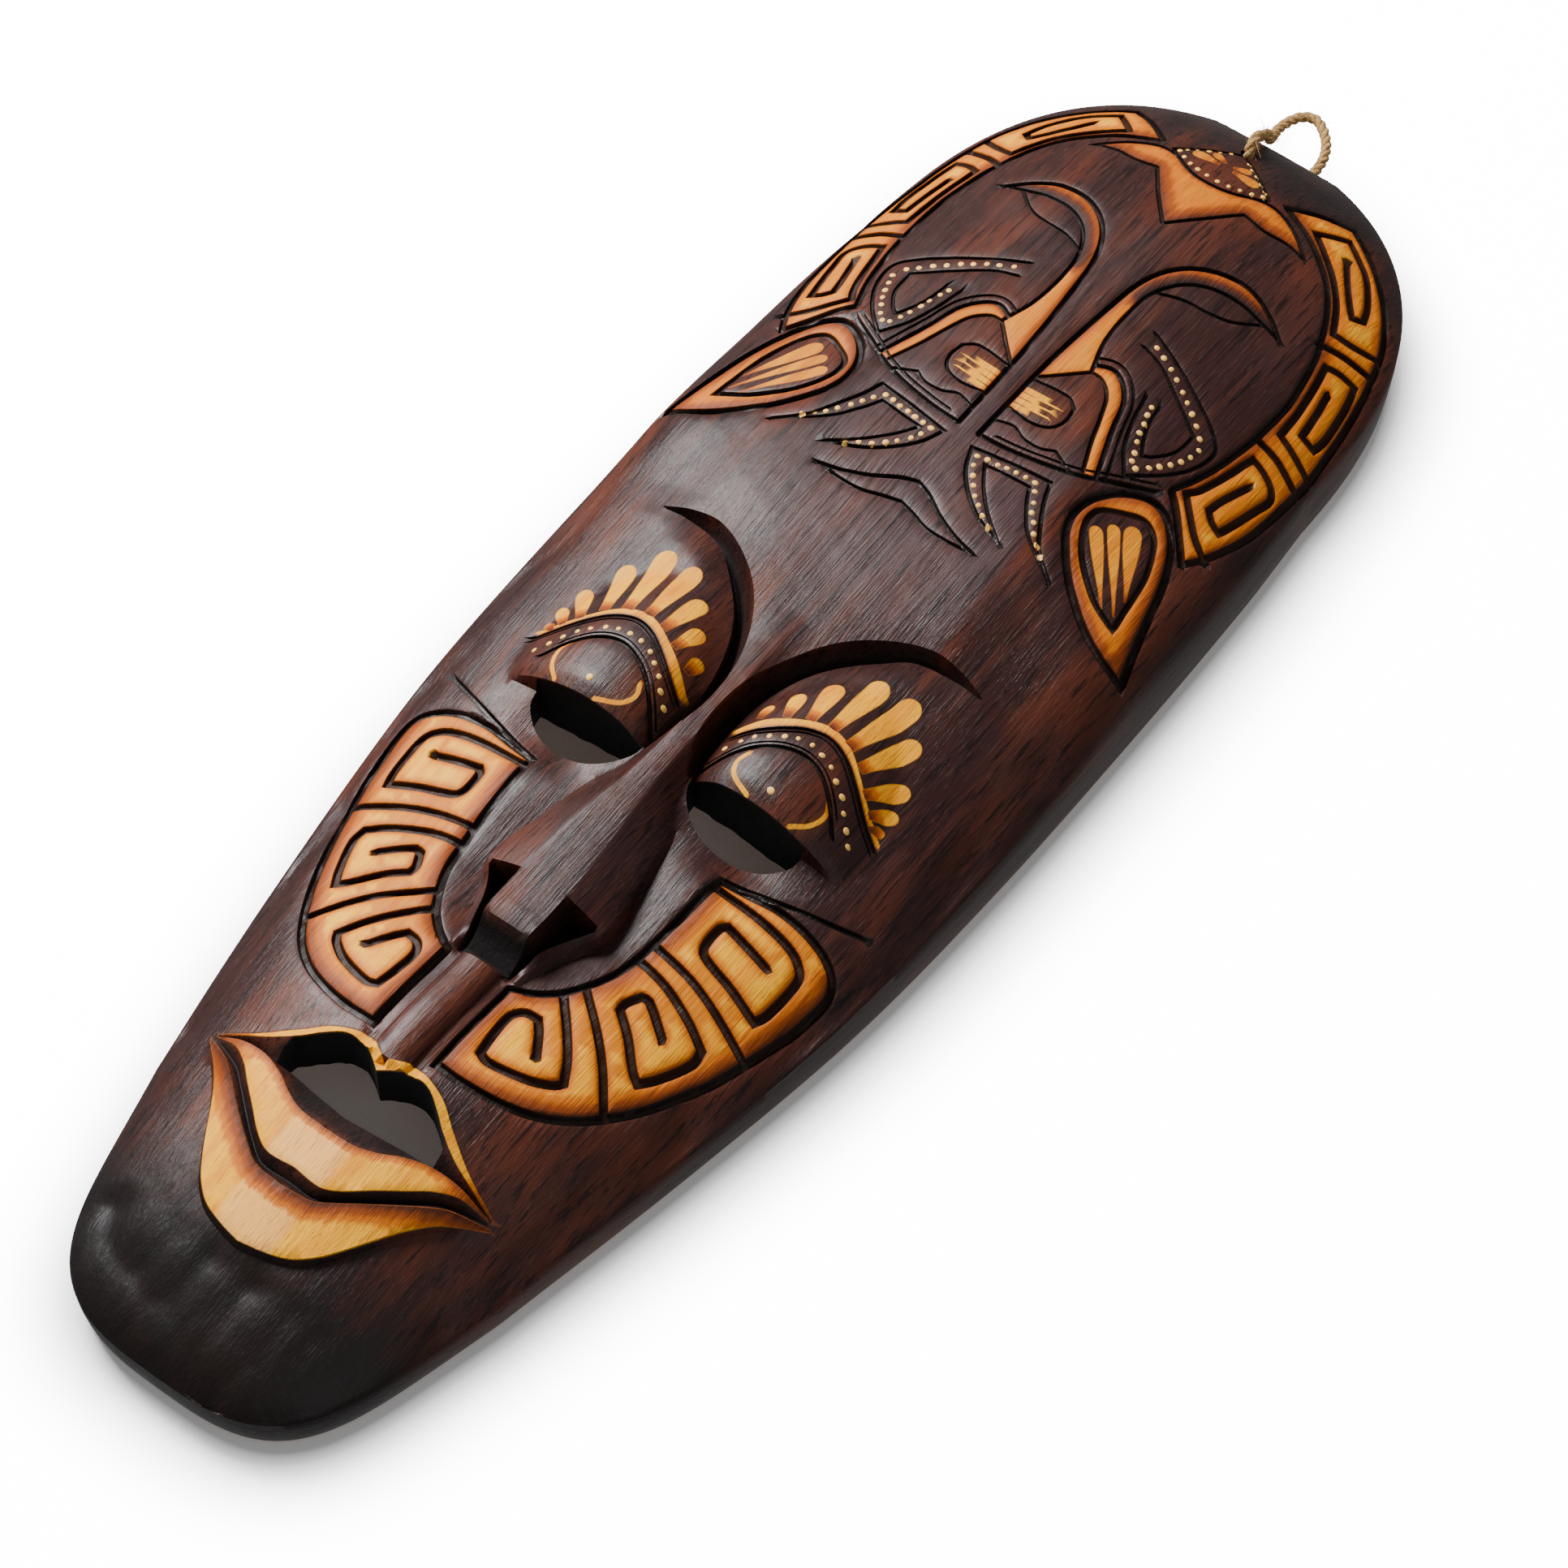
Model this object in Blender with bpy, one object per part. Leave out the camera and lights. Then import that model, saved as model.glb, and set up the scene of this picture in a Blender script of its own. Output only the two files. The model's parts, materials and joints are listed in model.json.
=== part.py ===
# A carved wooden wall mask lying on its back rim, with a jute hanging loop.
# Metres, +Z up. The crown of the head points to +Y, the chin to -Y, the face looks up.
# Carving is laid out in carver's units, a five hundredth of the mask's length each.
import bpy
import bmesh
import math
from mathutils import Vector
from mathutils.geometry import delaunay_2d_cdt, interpolate_bezier

# Driving sizes in metres
LENGTH = 0.500
WALL = 0.014
RIM_WIDTH = 0.011
RIM_INSET = 0.002
CORD_DIAMETER = 0.003
CORD_CLEARANCE = 0.0009
TOUCH_GAP = 0.0003

U = LENGTH / 500
BORE_RADIUS = (CORD_DIAMETER / 2 + CORD_CLEARANCE) / U
NOTCH_HEIGHT = (CORD_DIAMETER + 2 * CORD_CLEARANCE) / U
NOTCH_SIDE = 2.0

# Places of the bore and the cord notch in carver's units
BORE = (0.0, 231.5)
NOTCH_X = 5.0
NOTCH_FOOT = 222.0

# Where the two rounded ends of the outline begin and end
END = 250
CROWN_FROM = 150
CHIN_FROM = -183

# Crest of the face along its middle line, as (place along y, height)
CREST = [(-250, 12), (-246, 16), (-240, 19.5), (-232, 22.5), (-222, 26), (-205, 30.5),
         (-185, 34.5), (-165, 37.5), (-145, 40), (-120, 38), (-100, 36.5), (-60, 38),
         (-20, 41), (20, 44), (60, 46), (160, 46.5), (185, 46), (205, 43.5), (222, 39),
         (235, 33), (243, 27), (248, 21), (250, 15)]
# Half width between the two rounded ends
HALF = [(CHIN_FROM, 57.4), (-121, 69), (-60, 78), (0, 81.2), (60, 81.5), (118, 80.5),
        (CROWN_FROM, 78.6)]
# Cross section: the two powers of the crown curve
SECTION = [(-230, 2.2, 0.6), (-172, 2.0, 0.8), (-130, 2.2, 0.8), (-60, 2.2, 0.8),
           (20, 2.5, 0.7), (50, 3.2, 0.5), (70, 3.2, 0.5), (100, 2.4, 0.6),
           (150, 2.0, 0.7), (206, 1.8, 0.8)]
SHOULDER = [(-250, 12), (-200, 12), (-155, 14), (-80, 15.5), (-35, 18), (25, 20), (100, 21.5),
            (145, 22), (175, 20), (250, 21)]

# Brow edge and the foot of its hollow, from the outer tip down beside the nose
BROW = [(54, 26.3), (45, 28.6), (35.5, 28.4), (24.5, 23.4), (14.5, 15.2), (7.5, 4.5),
        (2.8, -8.7), (1.6, -22), (3.4, -34), (6.8, -42)]
SOCKET = [(53, 25.6), (46, 25.7), (33, 23.6), (25.9, 18.5), (16.2, 8.5), (10.5, -1.7),
          (7.1, -14.7), (6.9, -26), (7.6, -36), (8, -40.5)]
EYE_TOP = -40.5
EYE = [(8, EYE_TOP), (44.5, EYE_TOP), (43.6, -45), (39, -49.5), (33, -52.3), (26, -53.5),
       (19, -52.5), (12.5, -48.7), (9, -44.4)]

# Nose: half width of the ridge facet, half width of the wings, height over the crown
NOSE_FACET = [(20, 0.5), (-10, 2.2), (-50, 3.6), (-75, 6.2), (-95, 7.6), (-108, 7.4), (-118, 7)]
NOSE_WING = [(-30, 7), (-45, 8.5), (-60, 14), (-80, 18), (-92, 19.6), (-99, 15.9), (-107, 12.4),
             (-118, 10)]
NOSE_RISE = [(15, 0), (-20, 3.6), (-60, 7), (-104, 8), (-108, 7.2), (-111.5, 1.5), (-116, -2.5),
             (-119, -1)]
WING_RISE = [(-60, 0), (-92, 2.4), (-99, 0), (-118, 0)]
VALLEY = [(-48, 0), (-60, -1.8), (-90, -2.6), (-108, -2.6), (-119, -1)]
# Outer edge of the pit below the nose's wing, its top and its depth
NOSTRIL = [(-92, 19), (-99, 14.2), (-107, 10.8), (-118, 8.4)]
NOSTRIL_TOP = -92.5
NOSTRIL_DEPTH = 5.5
# Depth of the hollow below the brow
MOAT = 8.5

# Mouth curves, as (distance from the middle, y)
LIP_TOP = [(0, -157.2), (3.5, -155.3), (7, -153.2), (12.5, -154), (18.5, -156.2), (25, -160.6),
           (35, -166.4), (45, -170.2)]
LIP_INNER = [(0, -160.3), (4, -157.6), (8, -156), (13.5, -156.2), (18.5, -159), (24, -163),
             (32, -167), (45, -170.6)]
MOUTH_FOOT = [(0, -173.5), (11, -172.3), (22, -170.6), (32, -169.8), (45, -170.8)]
BAND_TOP = [(0, -180.2), (9, -179.6), (15, -177.3), (20, -174.4), (27, -171.6), (34, -170.6),
            (45, -171)]
BAND_FOOT = [(0, -192.6), (8.5, -193), (14, -190.3), (20, -185.4), (26, -180.5), (31, -176.2),
             (37, -172.8), (45, -171.3)]
LIP_TROUGH = [(0, -195.4), (8.7, -195.3), (14.5, -192), (20.5, -187.4), (28, -181.2),
              (34, -176.6), (45.5, -171.8)]
CHIN_BAND = [(0, -198.3), (9, -197.2), (14, -194.2), (20, -190), (26, -185.4), (31, -181.4),
             (37, -177), (46, -172.4)]
CHIN_FOOT = [(0, -215), (6.5, -213.8), (13.5, -211.4), (19, -207), (23.5, -201), (27.5, -194.8),
             (32.5, -187), (38, -180.4), (46.5, -172.8)]
LIP_RISE = [(LIP_TOP, 0.2), (LIP_INNER, 1.6), (MOUTH_FOOT, -2.5), (BAND_TOP, 2.4),
            (BAND_FOOT, 2.6), (LIP_TROUGH, -0.6), (CHIN_BAND, 3.0), (CHIN_FOOT, 2.2)]
MOUTH_END = 26

# Cheek panel corners and edges
PANEL = [(31.6, -59.3), (30.8, -75), (29.2, -90), (27.2, -100), (22.2, -110), (17, -115.7),
         (10.2, -120), (10.2, -149.4), (18, -149.2), (29, -147.2), (38.5, -143), (46.5, -136),
         (54.5, -124), (60.5, -111), (65, -98), (68, -86), (70.2, -74), (71, -65),
         (68.5, -60.2), (62, -57.2), (50, -56.3), (40, -57.8)]

# Leaves, border band, centre bar, crown and the other carved lines of the forehead
LEAF = [(77.6, 56.5), (74.5, 68), (72, 77.5), (69.4, 87), (66.6, 94.5), (63, 101), (58, 106),
        (52, 107.3), (45, 103.5), (40.3, 97), (38.8, 90), (40.2, 83.5), (44, 77.5), (49.5, 71),
        (56, 65.3), (63, 60.5), (70, 57.6)]
WINDOW = [(67.6, 66.5), (66.6, 73), (65.6, 80), (64.2, 87), (61.6, 94), (58.4, 99.2), (54, 101),
          (48.5, 98.6), (43.4, 94.6), (42.6, 90), (44.6, 84.5), (48.5, 78.8), (53.5, 74),
          (59.5, 69.6)]
BORDER_IN = [(54, 114.5), (57, 123), (58.8, 131), (60.2, 141), (60.8, 151), (60.6, 163),
             (59.2, 172), (57.3, 181), (54.6, 188), (51.5, 195), (47.8, 201), (43.5, 206),
             (38, 210.5), (31, 215), (22, 218.8)]
BORDER_OUT = [(68.5, 98.5), (71.5, 104.5), (74.3, 113), (76, 122), (76.8, 135), (77, 148),
              (76, 160), (74.8, 170), (73, 181), (70.6, 191), (67.8, 200), (63.5, 208),
              (58, 215.3), (51.5, 221.8), (44.5, 226.8), (38, 230.5), (30, 226), (22, 219.5)]
BAR_HOOK = [(3.4, 93), (3.7, 118), (4.4, 134), (5.6, 148), (7.2, 162), (10.4, 171.5),
            (16, 178.5), (24, 183), (33, 184), (41, 181), (47.5, 176.5)]
STRIPE = [(4.2, 118.8), (9, 123.5), (15.3, 130), (12, 141), (11.2, 152), (12.4, 163),
          (17, 171.5), (24, 176.3), (33, 178), (41, 177.3), (47.5, 176.5)]
HOOK_LEAF = [(12.6, 164), (20, 167.3), (28, 168.6), (34.5, 171), (41, 176.6)]
SWOOSH_OUT = [(36.8, 101.8), (34, 109.5), (30.6, 119), (28, 127.5), (24, 132.6),
              (19.5, 134.6), (14.8, 132.6)]
SWOOSH_IN = [(33, 101), (29.4, 109.8), (26, 119.6), (23.2, 126.2), (19, 129.8),
             (15.3, 130)]
HAND = [(3.7, 106), (12, 105), (17.5, 107), (19.6, 111.5), (19, 116.5), (15.5, 118.8),
        (3.8, 117.6)]
KNEES = [(4, 99.8), (9.5, 101.2), (14, 99.4), (19.5, 99.4), (23.5, 101.4), (30, 98.4)]
LOWER_ARC = [(3.4, 93), (13, 93.8), (24, 96), (33, 99.2), (40, 103.6), (51, 110)]
FANG_OUT = [(47, 65.5), (39.5, 71.5), (34.5, 79), (30.8, 86), (28.6, 92), (16, 90.2),
            (4.7, 88.3), (7.6, 81.5), (12.8, 75.3), (20, 70), (29.2, 66.4)]
FANG_IN = [(47, 65.5), (34, 73.8), (28, 81.5), (25, 87), (11, 85.6), (15.4, 79),
           (21.4, 72.6), (29.2, 66.4)]
MOUSTACHE_TOP = [(0, 70), (4.5, 68.4), (11.6, 64), (19, 60.8), (26, 59.2)]
MOUSTACHE_LOW = [(0, 61.8), (5, 60.4), (11, 58.4), (18, 58.2), (26, 59.2)]
VEE_OUT = [(21.5, 152.5), (30, 149), (41, 143.5), (52, 137), (55.6, 132.5), (54.4, 124),
           (49.5, 115.5), (42, 108), (37, 115), (33.6, 124), (31.4, 133.6)]
VEE_IN = [(21.5, 146.6), (28.5, 144.6), (37, 139.6), (48.5, 132.2), (48, 124.6),
          (44.6, 118.6), (42, 116.4), (39.6, 120.6), (37.4, 126.6), (36.2, 133.6)]
CROWN_TOP = [(0, 209.5), (4.5, 209.9), (9, 211.6), (14, 214.6), (20, 215.6), (28, 212.6),
             (36.4, 205.8)]
CROWN_LOW = [(0, 186.6), (8, 196.2), (15, 206), (22, 205.4), (29, 206.6), (36.4, 205.8)]
KITE = [(0, 229.4), (8.5, 223.6), (16.6, 217), (14, 214.6)]
LID = [(8.6, -37.5), (13.5, -31.5), (19, -26.3), (25, -23), (31, -21.7), (37, -23),
       (43, -27.4), (48.5, -33.5)]
EYE_BAND = [(9.2, -25.2), (15, -21.6), (21, -17.4), (27, -14), (33, -12.9), (39, -14.8),
            (45, -18.8), (52, -24), (57.5, -27)]
CHEEKBONE = [(31.3, -58.5), (45, -55), (58, -51), (69, -46.5)]

CHEEK_KEYS = [[(32, -62), (45, -61.7), (57, -62.6), (62, -65.2), (63.2, -68.5), (62.6, -80),
               (61.4, -84), (52, -81.5), (42, -79.4), (40.2, -77), (40.2, -70.5),
               (41.6, -69), (55.3, -70.8)],
              [(29.8, -91.3), (40, -92.8), (50, -96.2), (56.3, -99.4), (56.8, -103.5),
               (53, -113.5), (50.3, -118.3), (47.5, -116.5), (40.5, -109.8), (35, -105.8),
               (34.8, -103.5), (36.8, -99.2), (39, -98.8), (47.5, -104.3)],
              [(22, -112.5), (28, -118.8), (34, -126), (37.4, -131.8), (36, -134),
               (30, -137.8), (20, -140.6), (17, -139.8), (16, -133), (15.8, -126),
               (18, -123), (21.6, -122.3), (24, -125), (27.6, -130.4)]]
BORDER_KEYS = [[(72.5, 104), (66.5, 107.5), (61, 112.5), (57.3, 116.3), (59.3, 120), (61.2, 127),
                (62.6, 134), (63.8, 140), (68, 139.2), (72, 137.3), (73.6, 134.6),
                (72.9, 129), (71.6, 121.5), (70, 114), (67, 115), (64.4, 117.2),
                (65.2, 122), (67.6, 131.6)],
               [(76, 149.3), (70, 151.2), (64.4, 152.6), (63.8, 162), (62.4, 172),
                (60.7, 181), (64.5, 182.8), (69.3, 183.6), (70.8, 178), (72.2, 170),
                (73, 163), (72.8, 157.4), (68.4, 157.8), (67.4, 166), (65.8, 174.8)],
               [(68, 197), (62, 193.8), (56, 191.8), (51.4, 200.3), (47.4, 205.4),
                (42.8, 210), (37.5, 214.2), (32.4, 218), (36.2, 221.6), (40, 225),
                (45, 221.8), (50, 218.2), (54.2, 213), (57.2, 208), (58.8, 203.6),
                (56.2, 201.4), (52.6, 205.4), (48, 211.2), (44.4, 216.4)]]
SEPARATORS = [[(31, -85.5), (44, -87), (55, -90), (66, -94)],
              [(25, -107), (35, -115), (42, -121.8), (49.5, -131)],
              [(61.5, 145.9), (68, 145.6), (75.5, 143.3)], [(55.3, 185.4), (61, 188), (69, 190.3)],
              [(54, 113.8), (58, 110.3), (62.5, 105.3), (68.5, 98.5)]]


def between(table, place, column=1):
    """Read a table by straight lines between its rows, flat beyond its ends."""
    rows = sorted(table)
    if place <= rows[0][0]:
        return rows[0][column]
    for low, high in zip(rows, rows[1:]):
        if place <= high[0]:
            share = (place - low[0]) / (high[0] - low[0])
            return low[column] + share * (high[column] - low[column])
    return rows[-1][column]


def half_width(y):
    """Half of the mask's width at a place along it: a table between two formula ends."""
    if y > CROWN_FROM:
        share = min(1, (y - CROWN_FROM) / (END - CROWN_FROM))
        return HALF[-1][1] * (1 - share ** 2.6) ** 0.46
    if y < CHIN_FROM:
        share = min(1, (CHIN_FROM - y) / (END + CHIN_FROM))
        return (HALF[0][1] - 0.25 * (CHIN_FROM - y)) * (1 - share ** 5.5) ** 0.32
    return between(HALF, y)


def crown(x, y):
    """The plain rounded form of the mask before any carving."""
    share = min(1, abs(x) / max(half_width(y), 0.5))
    shoulder = min(between(SHOULDER, y), between(CREST, y))
    rise = max(0, between(CREST, y) - shoulder)
    power = between(SECTION, y, 1)
    round_off = between(SECTION, y, 2)
    return shoulder + rise * (1 - share ** power) ** round_off


def distance(point, line):
    """Distance from a point to a line of straight steps."""
    px, py = point
    best = 1e9
    for (ax, ay), (bx, by) in zip(line, line[1:]):
        dx = bx - ax
        dy = by - ay
        size = dx * dx + dy * dy
        share = 0 if size == 0 else max(0, min(1, ((px - ax) * dx + (py - ay) * dy) / size))
        best = min(best, math.hypot(px - ax - share * dx, py - ay - share * dy))
    return best


def inside(point, outline):
    """Whether a point lies inside a closed outline."""
    px, py = point
    count = False
    for (ax, ay), (bx, by) in zip(outline, outline[1:] + outline[:1]):
        if (ay > py) != (by > py) and px < (bx - ax) * (py - ay) / (by - ay) + ax:
            count = not count
    return count


def nostril(x, y):
    """How far a place lies in the pit below the nose's wing, from 0 to 1."""
    start = max(0, min(1, (NOSTRIL_TOP - y) / 1.6)) * max(0, min(1, (y + 119) / 2))
    near = x - between(NOSE_FACET, y)
    far = (between(NOSTRIL, y) - x) / 1.6
    return start * max(0, min(1, near, far))


def nose(x, y):
    """Height of the nose over the crown: ridge facet, sloping sides, wings and valley."""
    if y > 15 or y < -119:
        return 0
    facet = between(NOSE_FACET, y)
    wing = between(NOSE_WING, y)
    rise = between(NOSE_RISE, y)
    edge = between(WING_RISE, y)
    valley = between(VALLEY, y)
    if x <= facet:
        height = rise
    elif x <= wing:
        height = rise + (edge - rise) * (x - facet) / (wing - facet)
    elif x <= wing + 1.6:
        height = edge + (valley - edge) * (x - wing) / 1.6
    else:
        height = valley * max(0, 1 - (x - wing - 1.6) / 12)
    return height - (NOSTRIL_DEPTH + height) * nostril(x, y)


def philtrum(x, y):
    """The half round bar from the nose to the upper lip."""
    if y > -116 or y < -157 or x > 10.5:
        return 0
    end = min(1, (-116 - y) / 3)
    if x < 6.3:
        return end * (-1 + 3.6 * math.sqrt(1 - (x / 6.3) ** 2))
    return -end * min(1, (10.5 - x) / 0.8)


def lips(x, y):
    """Height of the lip bands over the crown, read from curve to curve."""
    if x > 46 or y > -150 or y < -218:
        return 0
    fade = min(1, (46 - x) / 9)
    levels = [(between(curve, x), rise * fade) for curve, rise in LIP_RISE]
    levels = [(levels[0][0] + 0.9, 0)] + levels + [(levels[-1][0] - 1.2, 0)]
    for (high, first), (low, second) in zip(levels, levels[1:]):
        if low <= y <= high:
            if high - low < 0.01:
                return first
            return first + (second - first) * (high - y) / (high - low)
    return 0


def eye_dome(x, y, near):
    """Height of the bulging eye over the crown, a little lower along the hollow's edge."""
    reach = 42 if y > -34 else 16
    swell = max(0, 1 - ((x - 31) / 26) ** 2 - ((y + 34) / reach) ** 2)
    sink = 3.4 * max(0, min(1, (53 - x) / 26))
    return 8.6 * swell - sink * max(0, 1 - near / 9) ** 1.5


def eye_bowl(x, y):
    """The hollow below the eye opening."""
    return -4.6 * math.exp(-((x - 31) / 15) ** 2 - ((y + 51) / 9) ** 2)


DOME = SOCKET + [(56, EYE_TOP - 0.5), (62, -20), (58, 22)]
CRESCENT = BROW + SOCKET[::-1]


def skin(x, y):
    """Height of the front without its grooves."""
    x = abs(x)
    plain = crown(x, y)
    outer = plain + nose(x, y) + philtrum(x, y) + lips(x, y)
    if y < EYE_TOP:
        outer += eye_bowl(x, y)
    if -43 < y < 30 and x < 62:
        from_socket = distance((x, y), SOCKET)
        if inside((x, y), CRESCENT):
            from_brow = distance((x, y), BROW)
            width = max(1e-6, from_brow + from_socket)
            floor = plain - MOAT * min(1, width / 5.5)
            slope = math.sin(min(1, from_brow / width / 0.8) * math.pi / 2) ** 0.8
            moat = outer + slope * (floor - outer)
            rise = max(0, 1 - from_socket / 0.7)
            return moat + rise * (plain + eye_dome(x, y, from_socket) - moat)
        if y >= EYE_TOP - 0.01 and inside((x, y), DOME):
            return plain + eye_dome(x, y, from_socket)
    return outer


# Grooves: centre line, half width and depth in carver's units
def closed(outline):
    return outline + outline[:1]


CARVED = [(closed(PANEL), 1.3, 1.6), (closed(LEAF), 1.4, 1.8), (closed(WINDOW), 1.0, 1.2),
          (BORDER_IN, 1.1, 1.4), (BORDER_OUT, 1.2, 1.4), (BAR_HOOK, 0.9, 1.3),
          (STRIPE, 0.8, 1.1), (HOOK_LEAF, 0.8, 1.0), (SWOOSH_OUT, 0.9, 1.2),
          (SWOOSH_IN, 0.8, 1.1), (HAND, 0.8, 1.0), (KNEES, 0.7, 0.9),
          (LOWER_ARC, 1.0, 1.2), (FANG_OUT, 0.9, 1.2), (FANG_IN, 0.8, 1.1),
          (MOUSTACHE_TOP, 0.9, 1.3), (MOUSTACHE_LOW, 0.8, 1.1), (VEE_OUT, 0.9, 1.1),
          (VEE_IN, 0.8, 1.0), (CROWN_TOP, 0.9, 1.1), (CROWN_LOW, 0.9, 1.1),
          (KITE, 0.8, 1.0), (LID, 0.9, 1.2), (EYE_BAND, 0.8, 1.0), (CHEEKBONE, 1.0, 1.2)]
CARVED += [(line, 1.4, 1.8) for line in CHEEK_KEYS]
CARVED += [(line, 1.2, 1.5) for line in BORDER_KEYS]
CARVED += [(line, 1.3, 1.7) for line in SEPARATORS]


def groove(x, y):
    """Depth of the deepest groove at a place."""
    x = abs(x)
    depth = 0
    for line, half, deep in CARVED:
        reach = distance((x, y), line)
        if reach < half:
            depth = max(depth, deep * (1 - reach / half))
    return depth


def front(x, y):
    return skin(x, y) - groove(x, y)


# Back of the mask
def hollow(x, y, inner):
    """Height of the hollow over the rim plane, with a quarter round cove at its edge."""
    if not inside((x, y), inner):
        return 0
    cove = min(1, distance((x, y), closed(inner)) / 18)
    return max(0, crown(x, y) - WALL / U) * math.sqrt(1 - (1 - cove) ** 2)


def notch(x, y):
    """A slot under the upper rim that lets the cord in."""
    if y < NOTCH_FOOT - 22:
        return 0
    slope = (NOTCH_SIDE + CORD_DIAMETER / 2 / U + 1.1 - abs(x - NOTCH_X)) / 1.1
    return NOTCH_HEIGHT * max(0, min(1, slope))


def mirrored(outline):
    """A whole outline from its right half, which runs from the middle line to it."""
    return outline + [(-x, y) for x, y in outline[::-1] if x > 1e-6]


def right_outline(steps_end, step_side):
    """Right half of the widest outline, from the crown of the head to the chin."""
    points = []
    for step in range(steps_end):
        share = 1 - (step / steps_end) ** 2
        place_along = CROWN_FROM + (END - CROWN_FROM) * share
        points.append((half_width(place_along), place_along))
    places = CROWN_FROM
    while places > CHIN_FROM:
        points.append((half_width(places), places))
        places -= step_side
    for step in range(steps_end, -1, -1):
        share = 1 - (step / steps_end) ** 2
        place_along = CHIN_FROM - (END + CHIN_FROM) * share
        points.append((half_width(place_along), place_along))
    return points


def inward(outline, amount):
    """Move each point of a closed clockwise outline inward by an amount."""
    moved = []
    count = len(outline)
    for index in range(count):
        before = Vector(outline[index - 1])
        after = Vector(outline[(index + 1) % count])
        along = (after - before).normalized()
        moved.append((outline[index][0] + along.y * amount,
                      outline[index][1] - along.x * amount))
    return moved


def beside(line, half):
    """The two edges of a groove, closing on its ends."""
    edges = [[], []]
    last = len(line) - 1
    ring = line[0] == line[-1]
    for index, point in enumerate(line):
        before = Vector(line[index - 1 if index else (last - 1 if ring else 0)])
        after = Vector(line[index + 1 if index < last else (1 if ring else last)])
        here = Vector(point)
        if not ring and index in (0, last):
            direction = (after - before).normalized()
            side = Vector((-direction.y, direction.x)) * half
        else:
            first = (here - before).normalized()
            second = (after - here).normalized()
            normal = Vector((-(first + second).y, (first + second).x))
            if normal.length < 1e-6:
                normal = Vector((-first.y, first.x))
            normal.normalize()
            turn = max(0.5, normal.dot(Vector((-first.y, first.x))))
            side = normal * half / turn
        edges[0].append(tuple(here + side))
        edges[1].append(tuple(here - side))
    return edges


def both_sides(line):
    """A line of the right half and its mirror image."""
    return [line, [(-x, y) for x, y in line]]


class Sheet:
    """Collects points and lines in plan, then cuts them into triangles."""

    def __init__(self):
        self.points = []
        self.edges = []

    def line(self, points, ring=False):
        start = len(self.points)
        self.points += [Vector(point) for point in points]
        count = len(points)
        for index in range(count - 1):
            self.edges.append((start + index, start + index + 1))
        if ring:
            self.edges.append((start + count - 1, start))

    def dot(self, point):
        self.points.append(Vector(point))

    def triangles(self, outline, holes):
        """Triangles inside an outline and outside its holes."""
        result = delaunay_2d_cdt(self.points, self.edges, [], 0, 1e-4)
        points = [tuple(point) for point in result[0]]
        kept = []
        for face in result[2]:
            middle = (sum(points[i][0] for i in face) / 3, sum(points[i][1] for i in face) / 3)
            if inside(middle, outline) and not any(inside(middle, hole) for hole in holes):
                kept.append(tuple(face))
        return points, kept


def loops(faces):
    """Closed loops of border edges of a set of triangles, as lists of point numbers."""
    count = {}
    for face in faces:
        for index in range(3):
            edge = (face[index], face[(index + 1) % 3])
            count[edge] = count.get(edge, 0) + 1
    border = {edge[0]: edge[1] for edge in count if (edge[1], edge[0]) not in count}
    found = []
    while border:
        start, step = next(iter(border.items()))
        loop = [start]
        del border[start]
        while step != start:
            loop.append(step)
            step = border.pop(step)
        found.append(loop)
    return found


class Shell:
    """A closed mesh made of two sheets and the walls between their loops."""

    def __init__(self):
        self.mesh = bmesh.new()

    def add(self, points, faces, height):
        """Lift a sheet to its height; returns its corners by point number."""
        used = sorted({index for face in faces for index in face})
        corners = {index: self.mesh.verts.new((points[index][0] * U, points[index][1] * U,
                                               height(*points[index]) * U)) for index in used}
        for face in faces:
            self.mesh.faces.new([corners[index] for index in face])
        return corners

    def wall(self, upper, lower):
        """A strip of triangles between two loops that run the same way."""
        start = min(range(len(lower)), key=lambda i: (lower[i].co.xy - upper[0].co.xy).length)
        lower = lower[start:] + lower[:start]
        spans = []
        for loop in (upper, lower):
            lengths = [0]
            for index in range(len(loop)):
                after = loop[(index + 1) % len(loop)]
                lengths.append(lengths[-1] + (after.co.xy - loop[index].co.xy).length)
            spans.append([length / lengths[-1] for length in lengths])
        first = second = 0
        while first < len(upper) or second < len(lower):
            here = upper[first % len(upper)]
            below = lower[second % len(lower)]
            step_upper = second >= len(lower)
            if first < len(upper) and second < len(lower):
                step_upper = spans[0][first + 1] <= spans[1][second + 1]
            if step_upper:
                first += 1
                self.mesh.faces.new((here, below, upper[first % len(upper)]))
            else:
                second += 1
                self.mesh.faces.new((here, below, lower[second % len(lower)]))

    def finish(self, name, material):
        bmesh.ops.recalc_face_normals(self.mesh, faces=self.mesh.faces)
        if self.mesh.calc_volume(signed=True) < 0:
            bmesh.ops.reverse_faces(self.mesh, faces=self.mesh.faces)
        data = bpy.data.meshes.new(name)
        self.mesh.to_mesh(data)
        self.mesh.free()
        return place(name, data, material)


def place(name, data, material):
    item = bpy.data.objects.new(name, data)
    item.data.materials.append(material)
    bpy.context.collection.objects.link(item)
    return item


def finish_of(name, colour, roughness):
    """A plain material with a name, a colour and a roughness."""
    material = bpy.data.materials.new(name)
    material.use_nodes = True
    shader = material.node_tree.nodes["Principled BSDF"]
    shader.inputs["Base Color"].default_value = (*colour, 1)
    shader.inputs["Roughness"].default_value = roughness
    shader.inputs["Metallic"].default_value = 0
    return material


def circle(centre, radius, sides):
    return [(centre[0] + radius * math.cos(2 * math.pi * step / sides),
             centre[1] + radius * math.sin(2 * math.pi * step / sides))
            for step in range(sides)]


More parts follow.
